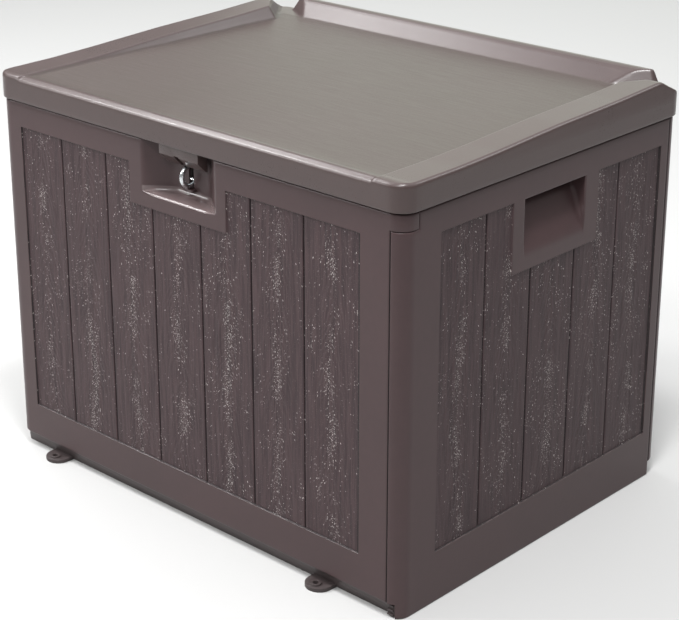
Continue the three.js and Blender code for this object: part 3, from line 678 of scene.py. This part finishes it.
def plank_material(name, axis, sign, first, pitch, seed, field):
    """Embossed wood: fine streaks along z, nested arches, and small raised marks gathered along each plank's middle,
    whose bright colour is a painted highlight (glint), plus faint painted highlight dots.
    """
    n = Nodes(name)
    s = n.split(n.coord)
    u = n.math("MULTIPLY", s[axis], 1000.0 * sign)
    z = n.math("MULTIPLY", s[2], 1000.0)
    k = n.math("DIVIDE", n.math("SUBTRACT", u, first), pitch)
    number = n.math("FLOOR", k)
    local = n.math("MULTIPLY", n.math("SUBTRACT", n.math("SUBTRACT", k, number), 0.5), pitch)
    key = n.math("ADD", n.math("MULTIPLY", number, 7.37), float(seed))
    # the middle line wanders
    wander = n.noise(n.join(n.math("MULTIPLY", z, 0.011), key, 0.0), 1.0, 1.0, 0.5)
    off = n.math("MULTIPLY", n.math("SUBTRACT", wander, 0.5), 26.0)
    v = n.math("SUBTRACT", local, off)
    av = n.math("ABSOLUTE", v)
    # streaks
    st = n.noise(n.join(n.math("MULTIPLY", u, 0.85), n.math("MULTIPLY", z, 0.028), key), 1.0, 3.0, 0.6)
    st2 = n.noise(n.join(n.math("MULTIPLY", u, 0.28), n.math("MULTIPLY", z, 0.012), key), 1.0, 2.0, 0.5)
    # arches: lines that lean in towards the middle
    arch = n.math("ADD", n.math("MULTIPLY", z, 0.16), n.math("MULTIPLY", av, 0.34))
    arch = n.math("ADD", arch, n.math("MULTIPLY", n.noise(n.join(n.math("MULTIPLY", u, 0.05), n.math("MULTIPLY", z, 0.02), key), 1.0, 2.0, 0.5), 9.0))
    wave = n.math("SINE", n.math("MULTIPLY", arch, 2.6))
    near = n.math("POWER", 2.718, n.math("MULTIPLY", n.math("MULTIPLY", av, av), -1 / 260.0))
    wave = n.math("MULTIPLY", wave, near)
    # marks: short slanted dashes, dense along the middle in runs, sparse elsewhere; raised by the bump and glossier,
    # and lightened in colour as a painted highlight
    lean = n.math("ADD", z, n.math("MULTIPLY", av, 1.1))
    cell = n.join(n.math("MULTIPLY", u, 0.62), n.math("MULTIPLY", lean, 0.50), key)
    dist, col = n.voronoi(cell, 1.0, 1.0, "2D")
    pick = n.split(col)
    runs = n.noise(n.join(n.math("MULTIPLY", z, 0.021), n.math("ADD", key, 31.0), 0.0), 1.0, 2.0, 0.6)
    core = n.math("POWER", 2.718, n.math("MULTIPLY", n.math("MULTIPLY", av, av), -1 / 30.0))
    dens = n.math("MULTIPLY", core, n.ramp(runs, 0.42, 0.62, 0.08, 0.80))
    patch = n.noise(n.join(n.math("MULTIPLY", u, 0.045), n.math("MULTIPLY", z, 0.02), n.math("ADD", key, 9.0)), 1.0, 2.0, 0.6)
    dens = n.math("ADD", dens, n.ramp(patch, 0.44, 0.70, 0.012, 0.19))
    on = n.math("GREATER_THAN", dens, pick[0])
    size = n.math("MULTIPLY_ADD", pick[1], 0.24, 0.18)
    dot = n.ramp(n.math("DIVIDE", dist, size), 1.0, 0.45)
    mark_and_glint = n.math("MULTIPLY", on, dot)
    glint = n.math("MULTIPLY", mark_and_glint, n.math("MULTIPLY_ADD", n.math("POWER", pick[2], 1.8), 0.74, 0.16))
    # a finer crop of faint dots, painted highlights
    dist2, col2 = n.voronoi(n.join(n.math("MULTIPLY", u, 0.95), n.math("MULTIPLY", z, 0.8), key), 1.0, 1.0, "2D")
    p2 = n.split(col2)
    on2 = n.math("GREATER_THAN", n.math("MULTIPLY_ADD", dens, 0.7, 0.05), p2[0])
    faint_glint_dot = n.math("MULTIPLY", on2, n.ramp(dist2, 0.34, 0.12))
    tone = n.math("ADD", n.math("MULTIPLY", st, 0.6), n.math("MULTIPLY", st2, 0.4))
    c = n.mix(n.ramp(tone, 0.36, 0.62), PLANK_DARK, PLANK)
    # grooves and the field's edge lie in shadow
    gap = n.math("SUBTRACT", pitch / 2.0, n.math("ABSOLUTE", local))
    edge = n.math("MINIMUM", n.math("SUBTRACT", u, field[0]), n.math("SUBTRACT", field[1], u))
    edge = n.math("MINIMUM", edge, n.math("MINIMUM", n.math("SUBTRACT", z, FIELD_Z[0]), n.math("SUBTRACT", FIELD_Z[1], z)))
    shadow = n.math("MAXIMUM", n.ramp(gap, 1.2, 0.45, 0.0, 0.95), n.ramp(edge, 1.2, 0.3, 0.0, 0.8))
    c = n.mix(shadow, c, rgb(20, 15, 16))
    # painted highlights: the faint dots and the marks' glints lighten the colour
    c = n.mix(n.math("MULTIPLY", faint_glint_dot, 0.35), c, rgb(132, 120, 118))
    c = n.mix(glint, c, rgb(232, 225, 221))
    n.put(n.bsdf.inputs["Base Color"], c)
    r = n.math("MULTIPLY_ADD", tone, -0.18, 0.62)
    n.put(n.bsdf.inputs["Roughness"], n.math("SUBTRACT", r, n.math("MULTIPLY", mark_and_glint, 0.15)))
    n.bsdf.inputs["IOR"].default_value = 1.5
    n.bsdf.inputs["Specular IOR Level"].default_value = 0.34
    h = n.math("ADD", n.math("MULTIPLY", st, 0.9), n.math("MULTIPLY", wave, 0.32))
    h = n.math("ADD", h, n.math("MULTIPLY", mark_and_glint, 0.7))
    fine = n.noise(n.coord, 700.0, 2.0, 0.6)
    h = n.math("ADD", h, n.math("MULTIPLY", fine, 0.3))
    n.put(n.bsdf.inputs["Normal"], n.bump(h, 0.00045, 0.9))
    return n.mat


def lid_material(name):
    """Satin lid top: fine etched grain drawn out along x, faint long streaks."""
    n = Nodes(name)
    s = n.split(n.coord)
    long_ = n.noise(n.join(n.math("MULTIPLY", s[0], 22.0), n.math("MULTIPLY", s[1], 260.0), n.math("MULTIPLY", s[2], 100.0)), 1.0, 3.0, 0.6)
    cloud = n.noise(n.coord, 7.0, 3.0, 0.55)
    fine = n.noise(n.coord, 620.0, 2.0, 0.6)
    f = n.math("ADD", n.math("MULTIPLY", cloud, 0.5), n.math("MULTIPLY", long_, 0.5))
    n.put(n.bsdf.inputs["Base Color"], n.mix(n.ramp(f, 0.38, 0.62), rgb(64, 55, 51), rgb(66, 56, 53)))
    r = n.math("MULTIPLY_ADD", n.math("SUBTRACT", long_, 0.5), 0.16, 0.40)
    n.put(n.bsdf.inputs["Roughness"], n.math("ADD", r, n.math("MULTIPLY", n.math("SUBTRACT", fine, 0.5), 0.12)))
    n.bsdf.inputs["IOR"].default_value = 1.5
    h = n.math("ADD", n.math("MULTIPLY", long_, 0.5), n.math("MULTIPLY", fine, 0.5))
    n.put(n.bsdf.inputs["Normal"], n.bump(h, 0.00012))
    return n.mat


def metal(name, color, rough, scratch=0.00003, metallic=1.0):
    n = Nodes(name)
    n.bsdf.inputs["Metallic"].default_value = metallic
    m = n.noise(n.coord, 260.0, 4.0, 0.65)
    m2 = n.noise(n.coord, 1500.0, 2.0, 0.6)
    dark = tuple(c * 0.78 for c in color[:3]) + (1.0,)
    n.put(n.bsdf.inputs["Base Color"], n.mix(n.ramp(m, 0.3, 0.7), dark, color))
    n.put(n.bsdf.inputs["Roughness"], n.math("MULTIPLY_ADD", m, 0.16, rough - 0.08))
    n.put(n.bsdf.inputs["Normal"], n.bump(n.math("ADD", m, m2), scratch))
    return n.mat


M_WALL = satin("wall_resin", WALL, WALL_DARK, 0.36, spec=0.34, seam_shade=True)
M_LID = satin("lid_resin", LID, rgb(65, 53, 52), 0.30)
# the pocket's ledge: glossier resin, and its lighter colour is a painted highlight
M_LEDGE_PAINTED_LIGHT = satin("ledge_resin_painted_highlight", rgb(98, 84, 84), rgb(90, 78, 78), 0.24)
M_LIDTOP = lid_material("lid_top_resin")
M_INSIDE = satin("inside_resin", rgb(62, 54, 53), rgb(56, 49, 48), 0.50)
M_TRAY = satin("tray_resin", rgb(60, 51, 51), rgb(52, 44, 44), 0.50)
M_ZINC = metal("zinc_steel", (0.74, 0.77, 0.79, 1), 0.26)
M_BLACK = metal("black_steel", (0.045, 0.042, 0.042, 1), 0.42, metallic=0.35)
M_PLANK = {
    "front": plank_material("plank_front", 0, 1, -48.0, 71.0, 3, FRONT_FIELD),
    "right": plank_material("plank_right", 1, 1, -98.5, 71.67, 40, SIDE_FIELD),
    "back": plank_material("plank_back", 0, -1, -48.0, 71.0, 77, FRONT_FIELD),
    "left": plank_material("plank_left", 1, -1, -98.5, 71.67, 101, SIDE_FIELD),
}


# ---------------------------------------------------------------- build the walls
def wide_faces(turned, latch):
    s = -1 if turned else 1
    def choose(c):
        x, y, z = c[:, 0] * s, c[:, 1] * s, c[:, 2]
        f = (x > FRONT_FIELD[0] - 0.2) & (x < FRONT_FIELD[1] + 0.2) & (z > FIELD_Z[0] - 0.2) & (z < FIELD_Z[1] + 0.2)
        f &= (y < -HY + 3.2) & (y > -HY + 0.5)
        if latch:
            f &= ~((x > LATCH_BLOCK[0]) & (x < LATCH_BLOCK[1]) & (z > LATCH_BLOCK[2]))
        inside = (depth_in(c, HX, HY, R) > 3.6) & (y > -HY + 3.2)
        inside &= ~((np.abs(x - PX) < PF + 2) & (z > PZ - 2) & (y < -HY + 22.4) & latch)
        # the pocket's ledge faces take the lighter resin copy, a painted highlight
        ledge = (np.abs(x - PX) < PF + 2) & (z > PZ - 3) & (z < PZ + 7.5) & (y > -HY + 0.25) & (y < -HY + 22) & latch
        return np.where(ledge, 3, np.where(f, 1, np.where(inside & (z < TOP - 0.5), 2, 0)))
    return choose


def side_faces(turned):
    s = -1 if turned else 1
    def choose(c):
        x, y, z = c[:, 0] * s, c[:, 1] * s, c[:, 2]
        f = (y > SIDE_FIELD[0] - 0.2) & (y < SIDE_FIELD[1] + 0.2) & (z > FIELD_Z[0] - 0.2) & (z < FIELD_Z[1] + 0.2)
        f &= (x > HX - 3.2) & (x < HX - 0.5)
        f &= ~((y > GRIP_BLOCK[0]) & (y < GRIP_BLOCK[1]) & (z > GRIP_BLOCK[2]))
        grip = (y > GRIP_Y[0] - 1) & (y < GRIP_Y[1] + 1) & (z > 325) & (z < GRIP_TOP + 0.5) & (x > HX - 24.2)
        inside = (depth_in(c, HX, HY, R) > 3.6) & ~grip
        return np.where(f, 1, np.where(inside & (z < TOP - 0.5), 2, 0))
    return choose


def make_walls():
    # front, with the pocket's slot and the lip under the ring
    front = wide_panel("front_wall", True, 5)
    slot = box("slot", RING_X - 3.5, RING_X + 3.5, -HY + PD - 3, -HY + PD + 6, RING_Z - 13.8, RING_Z + 15.4, 1.2)
    boolean(front, slot, "DIFFERENCE")
    c = [(PX - PF - 1, -HY - 1), (PX + PF + 1, -HY - 1), (PX + PF + 1, -HY), (PX + PB + 1, -HY + PD + 1), (PX - PB - 1, -HY + PD + 1), (PX - PF - 1, -HY)]
    core = inner_core("front_panel", "front_core", HX - 3, HY - 3, R - 3, 0, 500, [prism("pocket_cut", c, PZ - 1, TOP + 2)])
    boolean(front, core, "UNION")
    lip = box("lip", RING_X - 7, RING_X + 7, -HY + PD - 5.5, -HY + PD + 2, RING_Z - 16.6, RING_Z - 13.6, 0.9)
    boolean(front, lip, "UNION")
    slots_by(front, [M_WALL, M_PLANK["front"], M_INSIDE, M_LEDGE_PAINTED_LIGHT], wide_faces(False, True))
    # back: the same panel turned half round, with its hinge screw holes
    back = wide_panel("back_wall", False, 23)
    for i, cx in enumerate((-170, 170)):
        for sx in (-20, 20):
            boolean(back, rod("hole", "y", 1.75, -HY - 2, -HY + 3.2, (-(cx + sx), 398), 24), "DIFFERENCE")
    half_turn(back)
    boolean(back, inner_core("back_panel", "back_core", HX - 3, HY - 3, R - 3, 0, 500), "UNION")
    slots_by(back, [M_WALL, M_PLANK["back"], M_INSIDE], wide_faces(True, False))
    right = side_panel("right_wall", 61)
    gc = []
    for node, turned, ob in (("right_side_panel", False, right),):
        core = inner_core(node, node + "_core", HX - 3, HY - 3, R - 3, -1, 500, [grip_cutter()])
        boolean(ob, core, "UNION")
    left = side_panel("left_wall", 83)
    boolean(left, inner_core_turned("left_side_panel"), "UNION")
    half_turn(left)
    slots_by(right, [M_WALL, M_PLANK["right"], M_INSIDE], side_faces(False))
    slots_by(left, [M_WALL, M_PLANK["left"], M_INSIDE], side_faces(True))
    return {"front_panel": front, "back_panel": back, "right_side_panel": right, "left_side_panel": left}


def grip_cutter():
    """The grip's hollow, a little larger than it is, so that only the new surface shows."""
    prof = [(3, 328), (-0.5, 328), (-2.5, 334), (-8.5, 351.5), (-16.5, 372.5), (-25, 379.5), (-25, GRIP_TOP + 1), (3, GRIP_TOP + 1)]
    y0, y1 = GRIP_Y[0] - 1, GRIP_Y[1] + 1
    n = len(prof)
    v = [(HX + d, y0, z) for d, z in prof] + [(HX + d, y1, z) for d, z in prof]
    f = [tuple(range(n)), tuple(range(2 * n - 1, n - 1, -1))] + [(i, (i + 1) % n, n + (i + 1) % n, n + i) for i in range(n)]
    ob = to_object("grip_cut", v, f)
    outward(ob)
    return ob


def inner_core_turned(node):
    core = cad_copy(node, node + "_core")
    half_turn(core)
    boolean(core, prism("keep", rounded_rect(HX - 3, HY - 3, R - 3), -1, 500), "INTERSECT")
    boolean(core, grip_cutter(), "DIFFERENCE")
    return core


# ---------------------------------------------------------------- lid
BAND_W, RIM_W, RIM_END = 34.0, 34.0, 259.0


def lid_top(X, Y):
    """Height of the lid's top surface over the plan, with no edge rounding."""
    flat = LID_TOP + 0.5 * (1 - (X / LX) ** 2) * (1 - (Y / LY) ** 2)
    ax = np.abs(X)
    # front lip: a broad rounded ridge
    t = Y + LY
    lip = np.interp(t, [0, 2.0, 5.0, 8.0, 11.0, 15.0, 30.0], [1.3, 2.1, 2.5, 2.2, 1.1, 0.35, 0.0])
    z = flat + lip
    # side bands: flat top that rises to the rear, slanted inner wall, diagonal rear end
    top = np.interp(Y, [-LY, -150, -90, -40, 10, 110, 185], [444.8, 445.1, 446.9, 449.2, 451.4, 453.9, 457.2])
    wall = top + (ax - (LX - BAND_W - 0.5)) * 1.35
    band = smin(top, wall, 2.6)
    # rear end: down to the corner, and cut off along a diagonal
    end = top - np.interp(Y, [184, 190, 201, 213, 223], [0, 1.2, 7.0, 13.0, 15.5])
    diag = ((ax - 257.0) * 1.2 - (Y - 162)) / 1.56
    band = smin(band, end, 2.5)
    band = smin(band, top + diag * 1.6, 2.2)
    # rear rim: gentle inner face, slanted ends
    r = Y - (LY - RIM_W)
    prof = np.interp(r, [-9, -2, 2, 10, 20, 25, 30, 34], [-1.2, 0.0, 1.0, 6.4, 13.4, 15.6, 16.4, 16.2])
    slope = (RIM_END + 8 - ax) * 2.2
    slope2 = (-(ax - 231) * 0.62 + (Y - 199)) * 1.5 + 9.0
    rim = LID_TOP + smin(smin(prof, slope, 2.0), np.maximum(slope2, -5), 2.4)
    z = smax(z, band, 3.0)
    z = smax(z, rim, 2.6)
    return z


def warp_corner(X, Y, hx, hy, r):
    """Carries a rectangle's grid onto a rectangle with round corners."""
    a, b = (np.abs(X) - (hx - r)) / r, (np.abs(Y) - (hy - r)) / r
    inside = (a > 0) & (b > 0)
    a_, b_ = np.clip(a, 0, 1), np.clip(b, 0, 1)
    na, nb = a_ * np.sqrt(1 - b_ * b_ / 2), b_ * np.sqrt(1 - a_ * a_ / 2)
    return np.where(inside, np.sign(X) * (hx - r + r * na), X), np.where(inside, np.sign(Y) * (hy - r + r * nb), Y)


def make_lid():
    e = 4.2  # radius of the upper outer edge
    hx, hy, r = LX - e, LY - e, LR - e
    fx = []
    for s in (-1, 1):
        fx += [s * v for v in np.arange(LX - BAND_W - 20, LX - BAND_W + 6, 0.9)] + [s * v for v in np.arange(LX - BAND_W + 6, hx, 2.6)]
        fx += [s * v for v in np.arange(215, 252, 2.0)]
    fy = list(np.arange(-hy, -hy + 14, 0.7)) + list(np.arange(150, LY - RIM_W - 6, 1.6)) + list(np.arange(LY - RIM_W - 6, hy, 0.8))
    xs, ys = lines(-hx, hx, 7.0, fx), lines(-hy, hy, 7.0, fy)
    X, Y = np.meshgrid(xs, ys, indexing="ij")
    XW, YW = warp_corner(X, Y, hx, hy, r)
    # outer edges draw in a little as the bands rise
    Zt = lid_top(XW * LX / hx, YW * LY / hy)
    rise = np.clip((Zt - LID_TOP - 4) / 15.0, 0, 1)
    XW = XW - np.sign(XW) * 3.2 * rise * sstep(LX - 60, LX, np.abs(XW))
    n, m = X.shape
    top = np.stack([XW, YW, Zt], -1)
    idx = np.arange(n * m).reshape(n, m)
    ring = np.concatenate([idx[:, 0], idx[-1, 1:], idx[-2::-1, -1], idx[0, -2:0:-1]])
    verts = [top.reshape(-1, 3)]
    faces = np.stack([idx[:-1, :-1], idx[1:, :-1], idx[1:, 1:], idx[:-1, 1:]], -1).reshape(-1, 4).tolist()
    base = top.reshape(-1, 3)[ring]
    # outward direction at each rim point, from the round-cornered outline
    cx = np.clip(base[:, 0], -(hx - r), hx - r)
    cy = np.clip(base[:, 1], -(hy - r), hy - r)
    d = base[:, :2] - np.stack([cx, cy], 1)
    flatx = np.abs(base[:, 0]) >= np.abs(cx) + 1e-6
    nrm = np.linalg.norm(d, axis=1)
    d = d / nrm[:, None]
    # plain target outline on the skirt
    out = np.stack([cx, cy], 1) + d * LR
    levels = []
    for t in (15, 30, 45, 60, 75, 90):
        a = math.radians(t)
        z = base[:, 2] - e * (1 - math.cos(a))
        k = math.sin(a) * e
        p = base[:, :2] + d * k
        levels.append(np.column_stack([p, z]))
    # skirt: from the rounded edge down to the lower edge, easing out to the full outline
    last = levels[-1]
    for f, rr in ((0.25, 0), (0.6, 0), (1.0, 0)):
        p = last[:, :2] * (1 - f) + out * f
        z = last[:, 2] * (1 - f) + (LID_TOP - 6) * f
        levels.append(np.column_stack([p, z]))
    for z in (432, 426, 421):
        levels.append(np.column_stack([out, np.full(len(out), float(z))]))
    lo = LID_BOTTOM
    for t in (0, 30, 60, 90):
        a = math.radians(t)
        p = out - d * (0.9 * (1 - math.cos(a)))
        levels.append(np.column_stack([p, np.full(len(out), lo + 0.9 * (1 - math.sin(a)))]))
    for inset, z in ((2.8, lo), (3.2, lo + 0.3), (3.3, lo + 3), (3.3, 438.2)):
        p = out - d * inset
        levels.append(np.column_stack([p, np.full(len(out), z)]))
    count, k = n * m, len(ring)
    prev = ring
    for L in levels:
        cur = np.arange(count, count + k)
        verts.append(L)
        count += k
        nxt_p, nxt_c = np.roll(prev, -1), np.roll(cur, -1)
        faces += np.stack([prev, cur, nxt_c, nxt_p], 1).tolist()
        prev = cur
    faces.append(prev.tolist()[::-1])
    lid = to_object("lid_shell", np.concatenate(verts), faces)
    outward(lid)
    core = inner_core("lid", "lid_core", LX - 1.2, LY - 1.2, LR - 1.2, 400, LID_TOP - 1.2)
    boolean(lid, core, "UNION")

    def choose(c):
        x, y, z = c[:, 0], c[:, 1], c[:, 2]
        inside = (z < 438.6) & (depth_in(c, LX, LY, LR) > 2.4)
        topf = (z > LID_TOP - 1) & (np.abs(x) < LX - BAND_W - 1) & (y > -LY + 11) & (y < LY - RIM_W + 1) & (z < LID_TOP + 2.0)
        return np.where(inside, 2, np.where(topf, 1, 0))

    slots_by(lid, [M_LID, M_LIDTOP, M_INSIDE], choose)
    print("lid", n, m, len(lid.data.polygons))
    return lid


# ---------------------------------------------------------------- small metal pieces
def ring_mesh(name, c, R0, r0, nu=112, nv=28):
    v, f = [], []
    for i in range(nu):
        a = 2 * math.pi * i / nu
        for j in range(nv):
            b = 2 * math.pi * j / nv
            rr = R0 + r0 * math.cos(b)
            v.append((c[0] + r0 * math.sin(b), c[1] + rr * math.cos(a), c[2] + rr * math.sin(a)))
            f.append((i * nv + j, ((i + 1) % nu) * nv + j, ((i + 1) % nu) * nv + (j + 1) % nv, i * nv + (j + 1) % nv))
    ob = to_object(name, v, f)
    outward(ob)
    return ob


def screw(name, c, direction, axis):
    """Pan-head screw: domed head with a cross recess, plain shank. c is under the head; direction points out of the head."""
    prof = [(0.0, 2.0), (1.2, 1.96), (2.3, 1.78), (3.2, 1.4), (3.75, 0.9), (3.98, 0.4), (4.0, 0.12), (3.9, 0.0), (1.45, 0.0), (1.45, -11.4 if axis == "y" else -6.8), (1.1, -12.0 if axis == "y" else -7.4), (0.0, -12.1 if axis == "y" else -7.5)]
    seg, v, f = 40, [], []
    rows = []
    for rr, h in prof:
        if rr == 0.0:
            rows.append([len(v)])
            v.append((0, 0, h))
        else:
            rows.append(list(range(len(v), len(v) + seg)))
            v += [(rr * math.cos(2 * math.pi * i / seg), rr * math.sin(2 * math.pi * i / seg), h) for i in range(seg)]
    for a, b in zip(rows, rows[1:]):
        for i in range(seg):
            j = (i + 1) % seg
            if len(a) == 1:
                f.append((a[0], b[i], b[j]))
            elif len(b) == 1:
                f.append((a[i], b[0], a[j]))
            else:
                f.append((a[i], b[i], b[j], a[j]))
    ob = to_object(name, v, f)
    outward(ob)
    for s in (0, 1):
        w = (2.0, 0.42) if s else (0.42, 2.0)
        boolean(ob, box("x", -w[0], w[0], -w[1], w[1], 0.9, 3.0), "DIFFERENCE")
    rot = Vector((0, 0, 1)).rotation_difference(Vector(direction)).to_matrix().to_4x4()
    ob.data.transform(Matrix.Translation(Vector(c) * MM) @ rot)
    return ob


# ---------------------------------------------------------------- put it together
walls = make_walls()
for node, ob in walls.items():
    shade(ob, 35)
    flat_slot(ob, 2)
    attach(ob, "box")
    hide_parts(node)

lid = make_lid()
shade(lid, 35)
flat_slot(lid, 2)
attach(lid, "lid")
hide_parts("lid")

tongue = polished("hasp_tongue", "hasp_tongue_shell", 1.4, 4)
tongue.data.materials.append(M_LID)
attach(tongue, "lid")
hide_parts("hasp_tongue")

tray = polished("floor_tray", "tray_shell", 0.7, 2)
tray.data.materials.append(M_TRAY)
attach(tray, "box")
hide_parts("floor_tray")

ring = ring_mesh("padlock_ring", (RING_X, RING_Y, RING_Z), 10.6, 2.6)
shade(ring, 60)
ring.data.materials.append(M_ZINC)
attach(ring, "ring")
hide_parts("lock_ring")

for side, cx in (("left", -170), ("right", 170)):
    for j, s in enumerate((-1, 1)):
        b = screw(f"body_screw_{side}_{j + 1}", (cx + s * 20, HY + 2.6, 398), (0, 1, 0), "y")
        l = screw(f"lid_screw_{side}_{j + 1}", (cx + s * 20, LY + 2.6, 430), (0, 1, 0), "z")
        for ob, body, node in ((b, "box", f"hinge_{side}_body_screw_{j + 1}"), (l, "lid", f"hinge_{side}_lid_screw_{j + 1}")):
            shade(ob, 40)
            ob.data.materials.append(M_ZINC)
            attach(ob, body)
            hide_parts(node)
    for kind, body in (("body_leaf", "box"), ("lid_leaf", "lid")):
        node = f"hinge_{side}_{kind}"
        ob = polished(node, f"{side}_{kind}_plate", 0.45, 2)
        ob.data.materials.append(M_BLACK)
        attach(ob, body)
        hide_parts(node)
    node = f"hinge_{side}_pin"
    ob = polished(node, f"{side}_hinge_pin", 0.35, 2)
    ob.data.materials.append(M_ZINC)
    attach(ob, "box")
    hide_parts(node)

for i, (node, x) in enumerate((("hasp_screw_left", -25.0), ("hasp_screw_right", 13.5))):
    ob = screw(f"tongue_screw_{i + 1}", (x, -195, 431.7), (0, 0, -1), "z")
    shade(ob, 40)
    ob.data.materials.append(M_ZINC)
    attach(ob, "lid")
    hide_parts(node)
ob = polished("ring_pin", "ring_cross_pin", 0.3, 2)
ob.data.materials.append(M_ZINC)
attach(ob, "box")
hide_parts("ring_pin")

# ---------------------------------------------------------------- floor, light and camera
fl = bpy.data.meshes.new("floor")
fl.from_pydata([(-30, -30, 0), (30, -30, 0), (30, 30, 0), (-30, 30, 0)], [], [(0, 1, 2, 3)])
floor = bpy.data.objects.new("floor", fl)
scene.collection.objects.link(floor)
fn = Nodes("pale_floor")
fn.bsdf.inputs["Base Color"].default_value = (0.47, 0.47, 0.466, 1)
fn.bsdf.inputs["Roughness"].default_value = 0.9
fn.bsdf.inputs["Specular IOR Level"].default_value = 0.1
fl.materials.append(fn.mat)

world = bpy.data.worlds.new("studio")
scene.world = world
world.use_nodes = True
wt = world.node_tree
bg = wt.nodes["Background"]
tc = wt.nodes.new("ShaderNodeTexCoord")
sx = wt.nodes.new("ShaderNodeSeparateXYZ")
wt.links.new(tc.outputs["Generated"], sx.inputs[0])
cr = wt.nodes.new("ShaderNodeValToRGB")
wt.links.new(sx.outputs[2], cr.inputs[0])
stops = [(0.0, (0.24, 0.235, 0.23)), (0.30, (0.30, 0.30, 0.29)), (0.50, (0.66, 0.66, 0.65)), (0.80, (1.45, 1.45, 1.48))]
el = cr.color_ramp.elements
el[0].position, el[0].color = stops[0][0], stops[0][1] + (1,)
el[1].position, el[1].color = stops[-1][0], stops[-1][1] + (1,)
for at, c in stops[1:-1]:
    e = el.new(at)
    e.color = c + (1,)
wt.links.new(cr.outputs[0], bg.inputs[0])
bg.inputs[1].default_value = 0.9


def area(name, at, target, size, energy, color=(1, 1, 1)):
    l = bpy.data.lights.new(name, "AREA")
    l.shape, l.size, l.size_y, l.energy, l.color = "RECTANGLE", size[0], size[1], energy, color
    o = bpy.data.objects.new(name, l)
    o.location = at
    o.rotation_euler = (Vector(target) - Vector(at)).to_track_quat("-Z", "Y").to_euler()
    scene.collection.objects.link(o)
    return o


area("overhead", (0.62, -0.57, 2.5), (0, 0, 0.44), (0.36, 0.36), 42)
area("left_strip", (-1.63, 0.0, 2.15), (0, 0, 0.44), (1.9, 0.4), 30)
area("left_high", (-1.70, -0.92, 2.15), (0, 0, 0.44), (0.4, 0.36), 32)
area("left_low", (-1.69, -1.82, 1.22), (0, 0, 0.43), (0.55, 0.26), 20)
area("right_back", (1.0, 1.9, 2.1), (0, 0, 0.4), (0.8, 0.8), 10)
area("front_high", (0.71, -1.46, 1.97), (0.2, 0.2, 0.45), (0.45, 0.4), 16)
area("garden", (-1.75, 3.7, 1.55), (0, 0, 0.44), (3.4, 1.9), 20, (0.89, 1.0, 0.86))

cam = bpy.data.cameras.new("camera")
cam.lens, cam.sensor_width, cam.shift_x, cam.shift_y = 98.15, 36.0, 0.0582, -0.1031
cam.clip_start, cam.clip_end = 0.05, 200
co = bpy.data.objects.new("camera", cam)
right = Vector((0.72165617, 0.69222288, -0.00631295))
down = Vector((0.23557407, -0.25414542, -0.93803783))
fwd = Vector((-0.65093565, 0.67545362, -0.34647537))
rot = Matrix((right, -down, -fwd)).transposed().to_4x4()
co.matrix_world = Matrix.Translation((1.295672, -1.396264, 0.965101)) @ rot
scene.collection.objects.link(co)
scene.camera = co
scene.view_settings.view_transform = "Standard"
scene.view_settings.look = "None"
